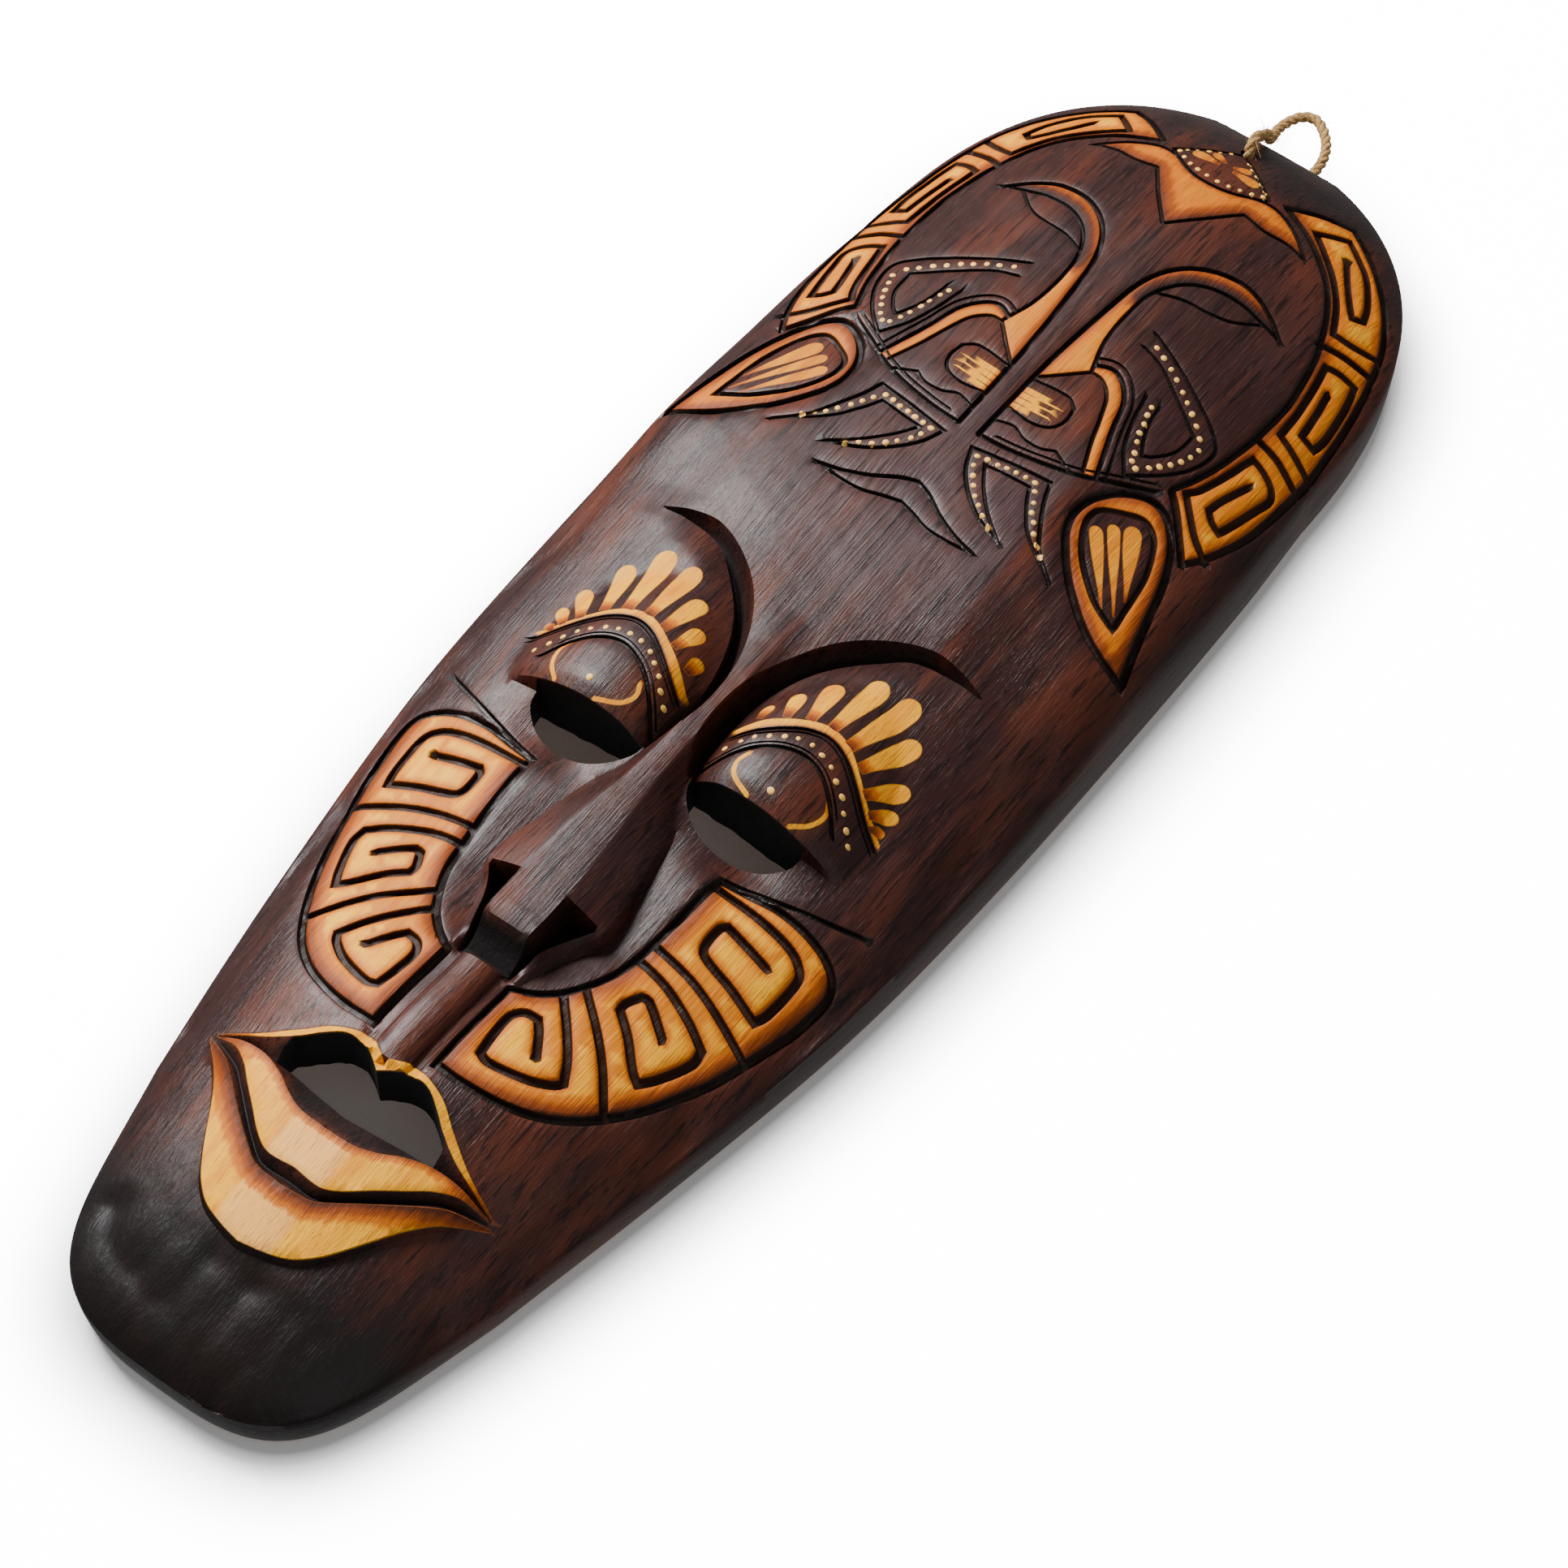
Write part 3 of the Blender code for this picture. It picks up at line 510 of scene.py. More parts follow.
# %% The eyeballs and the flat of the forehead
def eye_dome(x, y, near):
    """The bulging eye, a little lower along the edge of the moat."""
    reach = np.where(y > -34, 42, 16)
    swell = unit(1 - ((x - 31) / 26) ** 2 - ((y + 34) / reach) ** 2)
    sink = 3.4 * unit((53 - x) / 26)
    return 8.6 * swell - sink * unit(1 - near / 9) ** 1.5


def plateau(points):
    """Share of the flat forehead, for a painted sheen, and how far the wood falls beside it."""
    x, y = np.abs(points[:, 0]), points[:, 1]
    edge = 36 + 3 * np.clip((y - 40) / -60, -1, 1)
    length = unit((y - 22) / 12) * unit((112 - y) / 14)
    middle = unit((edge + 1 - x) / 2.5) * length
    fall = 1.7 * unit((x - edge) / 16) * unit((80 - x) / 20) * length
    return middle, fall


print("eyes and forehead ready")

# %% The whole front without its grooves
MOAT = 8.5


def skin(x, y):
    """Height of the front without its grooves, and the painted shade of its deep places."""
    x = np.abs(x)
    points = np.column_stack([x, y])
    plain = crown(x, y)
    height = plain + nose(x, y) + philtrum(x, y) + lips(x, y)
    # Painted shade in the nostril pits and under the tip of the nose.
    under = unit((-107 - y) / 2.5) * unit((y - NOSE_FOOT) / 1.5)
    painted_shade = np.maximum(nostril(x, y), under * (x < read(FACET, y) + 0.5))
    painted_shade = np.maximum(painted_shade, lip_shadow(x, y))
    bowl = -4.6 * np.exp(-((x - 31) / 15) ** 2 - ((y + 51) / 9) ** 2)
    height += np.where(y < EYE_TOP, bowl, 0)
    near = np.nonzero((y > -43) & (y < 30) & (x < 62))[0]
    spots = points[near]
    from_socket = distance(spots, SOCKET)
    from_brow = distance(spots, BROW)
    width = np.maximum(1e-6, from_brow + from_socket)
    share = from_brow / width
    outer = height[near]
    eye = plain[near] + eye_dome(x[near], y[near], from_socket)
    floor = plain[near] - MOAT * unit(width / 5.5)
    slope = np.sin(unit(share / 0.8) * math.pi / 2) ** 0.8
    moat = outer + slope * (floor - outer)
    moat += unit(1 - from_socket / 0.7) * (eye - moat)
    in_dome = inside(spots, DOME) & (spots[:, 1] >= EYE_TOP - 0.01)
    in_moat = inside(spots, CRESCENT)
    height[near] = np.where(in_moat, moat, np.where(in_dome, eye, outer))
    # Painted shade in the moat: none at the brow, full from its middle to the eye, less near the
    # nose.
    shade = unit(share * 1.8) * (0.45 + 0.55 * unit((spots[:, 1] + 8) / 16))
    painted_shade[near] = np.maximum(painted_shade[near], np.where(in_moat, shade, 0))
    return height, painted_shade


print("front ready, moat", MOAT, "mm deep")

# %% [markdown]
# The carver's drawing
#
# Every figure on the forehead and the cheeks is a closed shape or a line, cut with a V tool.
# Names follow what the figures look like. Only the right half is drawn, since the left one
# mirrors it, and a line that runs beside another one is an offset of it.

# %% Cheek panel, leaf and border
PANEL = smooth([(31.6, -59.3), (30.8, -75), (29.2, -90), (27.2, -100), (22.2, -110),
                (17, -115.7), (10.2, -120), (10.2, -149.4), (18, -149.2), (29, -147.2),
                (38.5, -143), (46.5, -136), (54.5, -124), (60.5, -111), (65, -98), (68, -86),
                (70.2, -74), (71, -65), (68.5, -60.2), (62, -57.2), (50, -56.3),
                (40, -57.8)], ring=True)
LEAF = smooth([(77.6, 56.5), (74.5, 68), (72, 77.5), (69.4, 87), (66.6, 94.5), (63, 101),
               (58, 106), (52, 107.3), (45, 103.5), (40.3, 97), (38.8, 90), (40.2, 83.5),
               (44, 77.5), (49.5, 71), (56, 65.3), (63, 60.5), (70, 57.6)], ring=True)
WINDOW = smooth([(67.6, 66.5), (66.6, 73), (65.6, 80), (64.2, 87), (61.6, 94), (58.4, 99.2),
                 (54, 101), (48.5, 98.6), (43.4, 94.6), (42.6, 90), (44.6, 84.5), (48.5, 78.8),
                 (53.5, 74), (59.5, 69.6)], ring=True)
BORDER_IN = smooth([(54, 114.5), (57, 123), (58.8, 131), (60.2, 141), (60.8, 151), (60.6, 163),
                    (59.2, 172), (57.3, 181), (54.6, 188), (51.5, 195), (47.8, 201),
                    (43.5, 206), (38, 210.5), (31, 215), (22, 218.8)])
BORDER_OUT = smooth([(68.5, 98.5), (71.5, 104.5), (74.3, 113), (76, 122), (76.8, 135),
                     (77, 148), (76, 160), (74.8, 170), (73, 181), (70.6, 191), (67.8, 200),
                     (63.5, 208), (58, 215.3), (51.5, 221.8), (44.5, 226.8), (38, 230.5),
                     (30, 226), (22, 219.5)])
print("panel", len(PANEL), "leaf", len(LEAF), "border", len(BORDER_IN), "points")

# %% Hooks, hands and bars of the forehead figure
BAR_HOOK = smooth([(3.4, 93), (3.7, 118), (4.4, 134), (5.6, 148), (7.2, 162), (10.4, 171.5),
                   (16, 178.5), (24, 183), (33, 184), (41, 181), (47.5, 176.5)])
STRIPE = smooth([(4.2, 118.8), (9, 123.5), (15.3, 130), (12, 141), (11.2, 152), (12.4, 163),
                 (17, 171.5), (24, 176.3), (33, 178), (41, 177.3), (47.5, 176.5)])
HOOK_LEAF = smooth([(12.6, 164), (20, 167.3), (28, 168.6), (34.5, 171), (41, 176.6)])
SWOOSH_OUT = smooth([(36.8, 101.8), (34, 109.5), (30.6, 119), (28, 127.5), (24, 132.6),
                     (19.5, 134.6), (14.8, 132.6)])
SWOOSH_IN = smooth([(33, 101), (29.4, 109.8), (26, 119.6), (23.2, 126.2), (19, 129.8),
                    (15.3, 130)])
HAND = smooth([(3.7, 106), (12, 105), (17.5, 107), (19.6, 111.5), (19, 116.5),
               (15.5, 118.8), (3.8, 117.6)])
KNEES = smooth([(4, 99.8), (9.5, 101.2), (14, 99.4), (19.5, 99.4), (23.5, 101.4),
                (30, 98.4)])
LOWER_ARC = smooth([(3.4, 93), (13, 93.8), (24, 96), (33, 99.2), (40, 103.6), (51, 110)])
print("hook", len(BAR_HOOK), "points")

# %% Fangs and vees that carry the dots
FANG_OUT = smooth([(47, 65.5), (39.5, 71.5), (34.5, 79), (30.8, 86), (28.6, 92), (16, 90.2),
                   (4.7, 88.3), (7.6, 81.5), (12.8, 75.3), (20, 70), (29.2, 66.4)])
FANG_IN = smooth([(47, 65.5), (34, 73.8), (28, 81.5), (25, 87), (11, 85.6), (15.4, 79),
                  (21.4, 72.6), (29.2, 66.4)])
MOUSTACHE_TOP = smooth([(0, 70), (4.5, 68.4), (11.6, 64), (19, 60.8), (26, 59.2)])
MOUSTACHE_LOW = smooth([(0, 61.8), (5, 60.4), (11, 58.4), (18, 58.2), (26, 59.2)])
VEE_OUT = smooth([(21.5, 152.5), (30, 149), (41, 143.5), (52, 137), (55.6, 132.5),
                  (54.4, 124), (49.5, 115.5), (42, 108), (37, 115), (33.6, 124),
                  (31.4, 133.6)])
VEE_IN = smooth([(21.5, 146.6), (28.5, 144.6), (37, 139.6), (48.5, 132.2), (48, 124.6),
                 (44.6, 118.6), (42, 116.4), (39.6, 120.6), (37.4, 126.6), (36.2, 133.6)])
print("fang", len(FANG_OUT), "vee", len(VEE_OUT), "points")

# %% Crown figure and lines of the eye
CROWN_TOP = smooth([(0, 209.5), (4.5, 209.9), (9, 211.6), (14, 214.6), (20, 215.6),
                    (28, 212.6), (36.4, 205.8)])
CROWN_LOW = smooth([(0, 186.6), (8, 196.2), (15, 206), (22, 205.4), (29, 206.6),
                    (36.4, 205.8)])
KITE = smooth([(0, 229.4), (8.5, 223.6), (16.6, 217), (14, 214.6)])
LID = smooth([(8.6, -37.5), (13.5, -31.5), (19, -26.3), (25, -23), (31, -21.7), (37, -23),
              (43, -27.4), (48.5, -33.5)])
EYE_BAND = smooth([(9.2, -25.2), (15, -21.6), (21, -17.4), (27, -14), (33, -12.9),
                   (39, -14.8), (45, -18.8), (52, -24), (57.5, -27)])
BAND_CREST = smooth([(8.4, -22), (15, -17.2), (21, -13.6), (26.5, -10.8), (31.4, -9.6),
                     (37.5, -11), (44, -15.4), (50, -20), (57.5, -24.6)])
CHEEKBONE = smooth([(31.3, -58.5), (45, -55), (58, -51), (69, -46.5)])
print("crown", len(CROWN_LOW), "lid", len(LID), "points")

# %% Squared keys
CHEEK_KEYS = [[(32, -62), (45, -61.7), (57, -62.6), (62, -65.2), (63.2, -68.5), (62.6, -80),
               (61.4, -84), (52, -81.5), (42, -79.4), (40.2, -77), (40.2, -70.5),
               (41.6, -69), (55.3, -70.8)],
              [(29.8, -91.3), (40, -92.8), (50, -96.2), (56.3, -99.4), (56.8, -103.5),
               (53, -113.5), (50.3, -118.3), (47.5, -116.5), (40.5, -109.8), (35, -105.8),
               (34.8, -103.5), (36.8, -99.2), (39, -98.8), (47.5, -104.3)],
              [(22, -112.5), (28, -118.8), (34, -126), (37.4, -131.8), (36, -134),
               (30, -137.8), (20, -140.6), (17, -139.8), (16, -133), (15.8, -126),
               (18, -123), (21.6, -122.3), (24, -125), (27.6, -130.4)]]
BORDER_KEYS = [[(72.5, 104), (66.5, 107.5), (61, 112.5), (57.3, 116.3), (59.3, 120), (61.2, 127),
                (62.6, 134), (63.8, 140), (68, 139.2), (72, 137.3), (73.6, 134.6),
                (72.9, 129), (71.6, 121.5), (70, 114), (67, 115), (64.4, 117.2),
                (65.2, 122), (67.6, 131.6)],
               [(76, 149.3), (70, 151.2), (64.4, 152.6), (63.8, 162), (62.4, 172),
                (60.7, 181), (64.5, 182.8), (69.3, 183.6), (70.8, 178), (72.2, 170),
                (73, 163), (72.8, 157.4), (68.4, 157.8), (67.4, 166), (65.8, 174.8)],
               [(68, 197), (62, 193.8), (56, 191.8), (51.4, 200.3), (47.4, 205.4),
                (42.8, 210), (37.5, 214.2), (32.4, 218), (36.2, 221.6), (40, 225),
                (45, 221.8), (50, 218.2), (54.2, 213), (57.2, 208), (58.8, 203.6),
                (56.2, 201.4), (52.6, 205.4), (48, 211.2), (44.4, 216.4)]]
SEPARATORS = [[(31, -85.5), (44, -87), (55, -90), (66, -94)],
              [(25, -107), (35, -115), (42, -121.8), (49.5, -131)],
              [(61.5, 145.9), (68, 145.6), (75.5, 143.3)], [(55.3, 185.4), (61, 188), (69, 190.3)],
              [(54, 113.8), (58, 110.3), (62.5, 105.3), (68.5, 98.5)]]
print("keys", len(CHEEK_KEYS) + len(BORDER_KEYS), "a side")


# %% Lines that run beside others
def beside(line, away):
    """A line that keeps its distance from another, to the left for a positive distance."""
    ring = np.allclose(line[0], line[-1])
    before = np.vstack([line[-2] if ring else line[0], line[:-1]])
    after = np.vstack([line[1:], line[1] if ring else line[-1]])
    come, leave = line - before, after - line
    come /= np.maximum(np.linalg.norm(come, axis=1), 1e-9)[:, None]
    leave /= np.maximum(np.linalg.norm(leave, axis=1), 1e-9)[:, None]
    along = come + leave
    along /= np.maximum(np.linalg.norm(along, axis=1), 1e-9)[:, None]
    normal = np.column_stack([-along[:, 1], along[:, 0]])
    way = np.where(np.linalg.norm(come, axis=1)[:, None] > 0.5, come, leave)
    turn = np.maximum(0.55, np.abs(along[:, 0] * way[:, 0] + along[:, 1] * way[:, 1]))
    return line + normal * (away / turn)[:, None]


def straight(*points):
    """A line through places with no bend between them, with points spread along it."""
    return smooth(points)


def upright(table, shift=0.0):
    """A line in plan from a table of half widths."""
    return straight(*[(width + shift, y) for y, width in sorted(table)])


print("offset of one line", beside(np.array([(0.0, 0.0), (1.0, 0.0)]), 1.0)[0].tolist())

# %% [markdown]
# Grooves and light figures
#
# A groove is its middle line, half its width and its depth, so that it is cut in the mesh and
# not only painted. A light figure is an outline that was not stained, with the share of orange
# in its tone, and the lines along which it was scorched: the cheeks and lips are pale, the
# forehead is a warm orange.

# %% Grooves
GROOVES = [(closed(PANEL), 1.3, 1.6), (closed(LEAF), 1.3, 1.8), (closed(WINDOW), 1.0, 1.3),
           (BORDER_IN, 1.1, 1.4), (BORDER_OUT, 1.1, 1.4), (BAR_HOOK, 0.9, 1.4),
           (STRIPE, 0.7, 1.1), (HOOK_LEAF, 0.6, 0.9), (SWOOSH_OUT, 0.8, 1.2),
           (SWOOSH_IN, 0.7, 1.1), (HAND, 0.6, 1.0), (KNEES, 0.55, 0.9),
           (LOWER_ARC, 0.9, 1.2), (FANG_OUT, 0.7, 1.1), (FANG_IN, 0.6, 1.0),
           (MOUSTACHE_TOP, 0.75, 1.3), (MOUSTACHE_LOW, 0.65, 1.1), (VEE_OUT, 0.65, 1.0),
           (VEE_IN, 0.6, 0.9), (CROWN_TOP, 0.7, 1.0), (CROWN_LOW, 0.7, 1.0),
           (KITE, 0.6, 0.9), (LID, 0.7, 1.2), (EYE_BAND, 0.6, 1.0), (CHEEKBONE, 0.8, 1.1)]
GROOVES += [(smooth(line), 1.4, 1.8) for line in CHEEK_KEYS]
GROOVES += [(smooth(line), 1.2, 1.5) for line in BORDER_KEYS]
GROOVES += [(smooth(line), 1.3, 1.7) for line in SEPARATORS]
GROOVES += [(beside(SWOOSH_OUT, -2.6), 0.5, 0.8), (beside(LOWER_ARC[4:], 2.2), 0.45, 0.7),
            (beside(EYE_BAND, -1.3), 0.35, 0.6), (beside(LID[2:-4], 1.5), 0.35, 0.6)]
print("grooves", len(GROOVES), round(sum(run(line)[-1] for line, _, _ in GROOVES)), "mm a side")


def groove_depth(points):
    """Depth of the deepest groove with its shoulders, its share, and the scorch beside it."""
    folded = right_half(points)
    depth = np.zeros(len(points))
    share = np.zeros(len(points))
    halo = np.zeros(len(points))
    for line, half, deep in GROOVES:
        away = distance(folded, line, half + 2.2)
        cut = unit(1.15 * (1 - (away / half) ** 2))
        shoulder = 0.25 * deep / 1.6 * unit(1 - (away - half) / 1.1) ** 2
        depth = np.maximum(depth, deep * cut + shoulder)
        share = np.maximum(share, cut)
        halo = np.maximum(halo, unit(1 - (away - half) / 1.5) * min(1, deep / 1.6))
    return depth, share, halo


# %% Petals
def petal(foot, tip, width, narrow=0.55):
    """A drop with a blunt foot and a round tip."""
    foot, tip = np.array(foot, float), np.array(tip, float)
    along = tip - foot
    size = np.linalg.norm(along)
    along /= size
    side = np.array([-along[1], along[0]])
    neck = max(0.3, 1 - 0.6 * width / size)
    rise = np.linspace(0, 1, 9)
    swell = narrow + (1 - narrow) * np.sin(rise * math.pi / 2) ** 1.6
    turn = np.linspace(0, math.pi, 13)[1:-1]
    spots = np.concatenate([rise * neck, neck + (1 - neck) * np.sin(turn), rise[::-1] * neck])
    reach = np.concatenate([swell, np.cos(turn), -swell[::-1]]) * width / 2
    return foot + np.outer(spots * size, along) + np.outer(reach, side)


EYE_PETALS = [((12.3, -17.2), (11.7, -11.2), 3.6), ((18.9, -14.2), (16.4, -4.2), 4.5),
              ((24.6, -11.4), (22.6, 4.4), 5.6), ((30.7, -9.8), (31.6, 12.8), 6.2),
              ((37.2, -11), (41.6, 13.8), 6.6), ((42.8, -14), (48.8, 4.8), 5.7),
              ((47.6, -18.4), (54.6, -7.4), 4.9), ((51.3, -21.4), (56.6, -15.2), 3.8),
              ((53.2, -23.8), (56.6, -21.4), 2.6)]
LEAF_PETALS = [((61.6, 69.6), (45.6, 89.4), 3.9), ((65.4, 70.0), (48.8, 93.6), 3.6),
               ((65.0, 76.0), (53, 97.2), 5.0)]
KITE_PETALS = [((2.4, 219.4), (11.2, 219.2), 3.4), ((1.4, 221.2), (6.4, 223.2), 2.6)]
print("petals", len(EYE_PETALS) + len(LEAF_PETALS) + len(KITE_PETALS), "a side")


# %% Light figures
def strip(first, second):
    """The outline between two lines that run the same way."""
    return np.vstack([first, second[::-1]])


def from_height(line, low):
    return line[line[:, 1] >= low]


CORNER = np.array([(45.0, -171), (45.5, -171)])


def petal_figures(shapes, shade, reach, strength, narrow):
    """Petals that are scorched at their feet."""
    return [(petal(*shape, narrow), shade,
             [(np.array([shape[0], shape[0]]) + [[-0.5, 0], [0.5, 0]], reach, strength)])
            for shape in shapes]


FIGURES = [(PANEL, 0.05, [(PANEL[PANEL[:, 1] < -62], 7.5, 0.78)]),
           (strip(LIP_CURVES[0], LIP_CURVES[1]), 0.15, [(CORNER, 12, 0.8)]),
           (strip(LIP_CURVES[3], LIP_CURVES[4]), 0.15, [(LIP_CURVES[3], 2.4, 0.55),
                                                        (CORNER, 16, 0.8)]),
           (strip(LIP_CURVES[6], LIP_CURVES[7]), 0.05, [(LIP_CURVES[6], 6, 0.8),
                                                        (CORNER, 14, 0.6)]),
           (strip(BORDER_IN, BORDER_OUT), 0.3, [(BORDER_IN, 7, 0.78), (BORDER_OUT, 4.5, 0.55)]),
           (LEAF, 0.9, [(closed(LEAF), 7, 0.78)]),
           (strip(from_height(BAR_HOOK, 118.6), STRIPE), 0.8,
            [(BAR_HOOK, 4.2, 0.7), (from_height(STRIPE, 160), 7.5, 1.2)]),
           (strip(SWOOSH_OUT, SWOOSH_IN), 0.7, [(SWOOSH_OUT, 3.4, 0.75)]),
           (strip(CROWN_TOP, CROWN_LOW), 0.9, [(CROWN_LOW, 8, 0.8), (CROWN_TOP, 4, 0.6)]),
           (strip(BAND_CREST, beside(EYE_BAND, 1.0)), 0.25, [])]
FIGURES += petal_figures(EYE_PETALS, 0.3, 5, 0.8, 0.5)
INNER_FIGURES = petal_figures(LEAF_PETALS, 0.75, 9, 0.6, 0.12)
INNER_FIGURES += petal_figures(KITE_PETALS, 1.0, 3, 0.7, 0.3)
print("light figures", len(FIGURES) + len(INNER_FIGURES))

# %% [markdown]
# Painted strokes
#
# Two thin arcs are painted round each eyeball, and the small hands have short strokes. They
# are lines with a width, so the same distance helper finds them.

# %% Strokes
STROKES = [(smooth([(42.8, -27.5), (44.4, -31), (43, -36), (39, -39.9)]), 0.55),
           (smooth([(18.2, -29.4), (17, -33), (19, -37), (25.6, -40)]), 0.6)]
STROKES += [(smooth([(3.9, y), (9.6 + 1.6 * (step % 2), y + 0.4)]), 0.95)
            for step, y in enumerate((106.9, 109.2, 111.4, 113.6))]
STROKES += [(smooth([(9, y), (15.4 - step % 2, y + 0.7)]), 0.28)
            for step, y in enumerate((108.4, 110.6, 112.8))]
print("strokes", len(STROKES))


# %% Fields of the figures
def figure_fields(points):
    """Lightness, tone and scorch at each place, and the painted highlight on the middle of the
    lips.
    """
    folded = right_half(points)
    light, tone, burn = np.zeros((3, len(points)))

    def lay(outline, shade, scorched):
        low, high = outline.min(axis=0) - 0.5, outline.max(axis=0) + 0.5
        near = np.nonzero(np.all((folded >= low) & (folded <= high), axis=1))[0]
        spots = folded[near]
        middle = np.all(np.abs(outline[[0, -1], 0]) < 0.01)
        away = distance(spots, outline if middle else closed(outline))
        within = inside(spots, outline)
        here = unit(0.5 + np.where(within, away, -away) / 0.3)
        heat = np.zeros(len(near))
        for line, wide, strong in scorched:
            heat = np.maximum(heat, strong * unit(1 - distance(spots, line) / wide))
        light[near] = np.maximum(light[near], here)
        tone[near] = np.where(here > 0.3, shade, tone[near])
        burn[near] = np.where(here > 0.3, heat, burn[near])

    for outline, shade, scorched in FIGURES:
        lay(outline, shade, scorched)
    window = np.nonzero(inside(folded, WINDOW))[0]
    light[window] = 0
    for outline, shade, scorched in INNER_FIGURES:
        lay(outline, shade, scorched)
    for line, half in STROKES:
        here = unit(0.5 + (half - distance(folded, line, 1.5)) / 0.25)
        light = np.maximum(light, here)
        tone = np.where(here > 0.5, 0.35, tone)
        burn = np.where(here > 0.5, 0, burn)
    # Painted highlight: the middle of the lower lip and the chin band is paler.
    lip_highlight = unit((9.4 - folded[:, 0]) / 0.8) * (folded[:, 1] < -176)
    return light, tone, burn, lip_highlight


print("light at the middle of the panel",
      figure_fields(np.array([(45.0, -100.0)]))[0].tolist())

# %% [markdown]
# The carved mesh
#
# The front is a sheet of triangles in plan, cut so that the edges of grooves, bands and
# openings are mesh edges. Blender's constrained triangulation does the cutting. Each corner
# is then lifted to the height of the carving. A plain grid would need far more triangles to
# keep such thin lines sharp.

# %% A sheet of triangles
class Sheet:
    """Points and lines in plan, which are cut into triangles."""

    def __init__(self):
        self.points = []
        self.edges = []

    def line(self, points, ring=False):
        """A line, or a closed ring, whose stretches become edges of triangles."""
        start = len(self.points)
        self.points += [tuple(point) for point in points]
        count = len(points)
        self.edges += [(start + i, start + i + 1) for i in range(count - 1)]
        if ring:
            self.edges.append((start + count - 1, start))

    def both(self, line, ring=False):
        """A line of the right half and its mirror image."""
        self.line(line, ring)
        self.line(line * [-1, 1], ring)

    def fill(self, spots, gap):
        """Add those spots that keep clear of all lines."""
        taken = {(round(x / gap), round(y / gap)) for x, y in self.points}
        for x, y in spots:
            column, row = round(x / gap), round(y / gap)
            near = any((column + i, row + j) in taken for i in (-1, 0, 1) for j in (-1, 0, 1))
            if not near:
                self.points.append((x, y))

    def triangles(self, outline, holes):
        """Triangles inside an outline and outside its holes."""
        result = delaunay_2d_cdt([Vector(point) for point in self.points], self.edges, [],
                                 0, 1e-4)
        points = np.array([tuple(point) for point in result[0]])
        faces = np.array(result[2])
        middles = points[faces].mean(axis=1)
        keep = inside(middles, outline)
        for hole in holes:
            keep &= ~inside(middles, hole)
        return points, faces[keep]


print("sheet ready")


# %% Outlines in plan
def mirrored(line):
    """A whole outline from its right half."""
    left = line[::-1] * [-1, 1]
    return np.vstack([line, left[np.abs(left[:, 0]) > 1e-6]])


def right_outline(steps, gap):
    """Right half of the widest outline, from crown to chin, with steps in each end."""
    top = CROWN_FROM + (END - CROWN_FROM) * (1 - (np.arange(steps) / steps) ** 2)
    side = np.arange(CROWN_FROM, CHIN_FROM, -gap)
    share = 1 - (np.arange(steps, -1, -1) / steps) ** 2
    chin = CHIN_FROM - (END + CHIN_FROM) * share
    places = np.concatenate([top, side, chin])
    return np.column_stack([half_width(places), places])


def inward(outline, amount):
    """Each point of a closed clockwise outline, moved inward."""
    along = np.roll(outline, -1, axis=0) - np.roll(outline, 1, axis=0)
    along /= np.linalg.norm(along, axis=1)[:, None]
    return outline + amount * np.column_stack([along[:, 1], -along[:, 0]])


OUTLINE = mirrored(right_outline(40, 2.0))
print("outline", len(OUTLINE), "points")


# %% Circles and staggered spots
def circle(centre, radius, sides):
    turn = np.linspace(0, 2 * math.pi, sides, endpoint=False)
    return np.column_stack([centre[0] + radius * np.cos(turn),
                            centre[1] + radius * np.sin(turn)])


def honeycomb(low, high, gap):
    """Spots in staggered rows."""
    rows = np.arange(low[1], high[1], gap * 0.866)
    spots = []
    for index, y in enumerate(rows):
        x = np.arange(low[0] + (index % 2) * gap / 2, high[0], gap)
        spots.append(np.column_stack([x, np.full(len(x), y)]))
    return np.vstack(spots)


print("spots in a small field", len(honeycomb((0, 0), (10, 10), 2)))

# %% Rim and openings
RIM = inward(OUTLINE, RIM_INSET)
INNER = inward(OUTLINE, RIM_INSET + RIM_WIDTH)
upper_lip = LIP_CURVES[1][LIP_CURVES[1][:, 0] < MOUTH_END]
lower_lip = LIP_CURVES[2][LIP_CURVES[2][:, 0] < MOUTH_END][::-1]
MOUTH = mirrored(np.vstack([upper_lip, [(MOUTH_END, -166.6)], lower_lip]))
HOLES = [EYE, EYE * [-1, 1], MOUTH, circle(BORE, BORE_RADIUS, 20)]
print("openings", len(HOLES))

# %% Lines of the front sheet
face = Sheet()
face.line(OUTLINE, ring=True)
for hole in HOLES:
    face.line(hole, ring=True)
for line, half, deep in GROOVES:
    for away in (-half - 0.7, -half, -half * 0.45, half * 0.45, half, half + 0.7):
        face.both(beside(line, away))
for line in LIP_CURVES:
    for away in (-0.15, 0.15):
        face.both(beside(line, away))
face.both(LIP_CURVES[0] + [0, 0.9])
face.both(LIP_CURVES[-1] - [0, 1.2])
print("line points after grooves and lips", len(face.points))

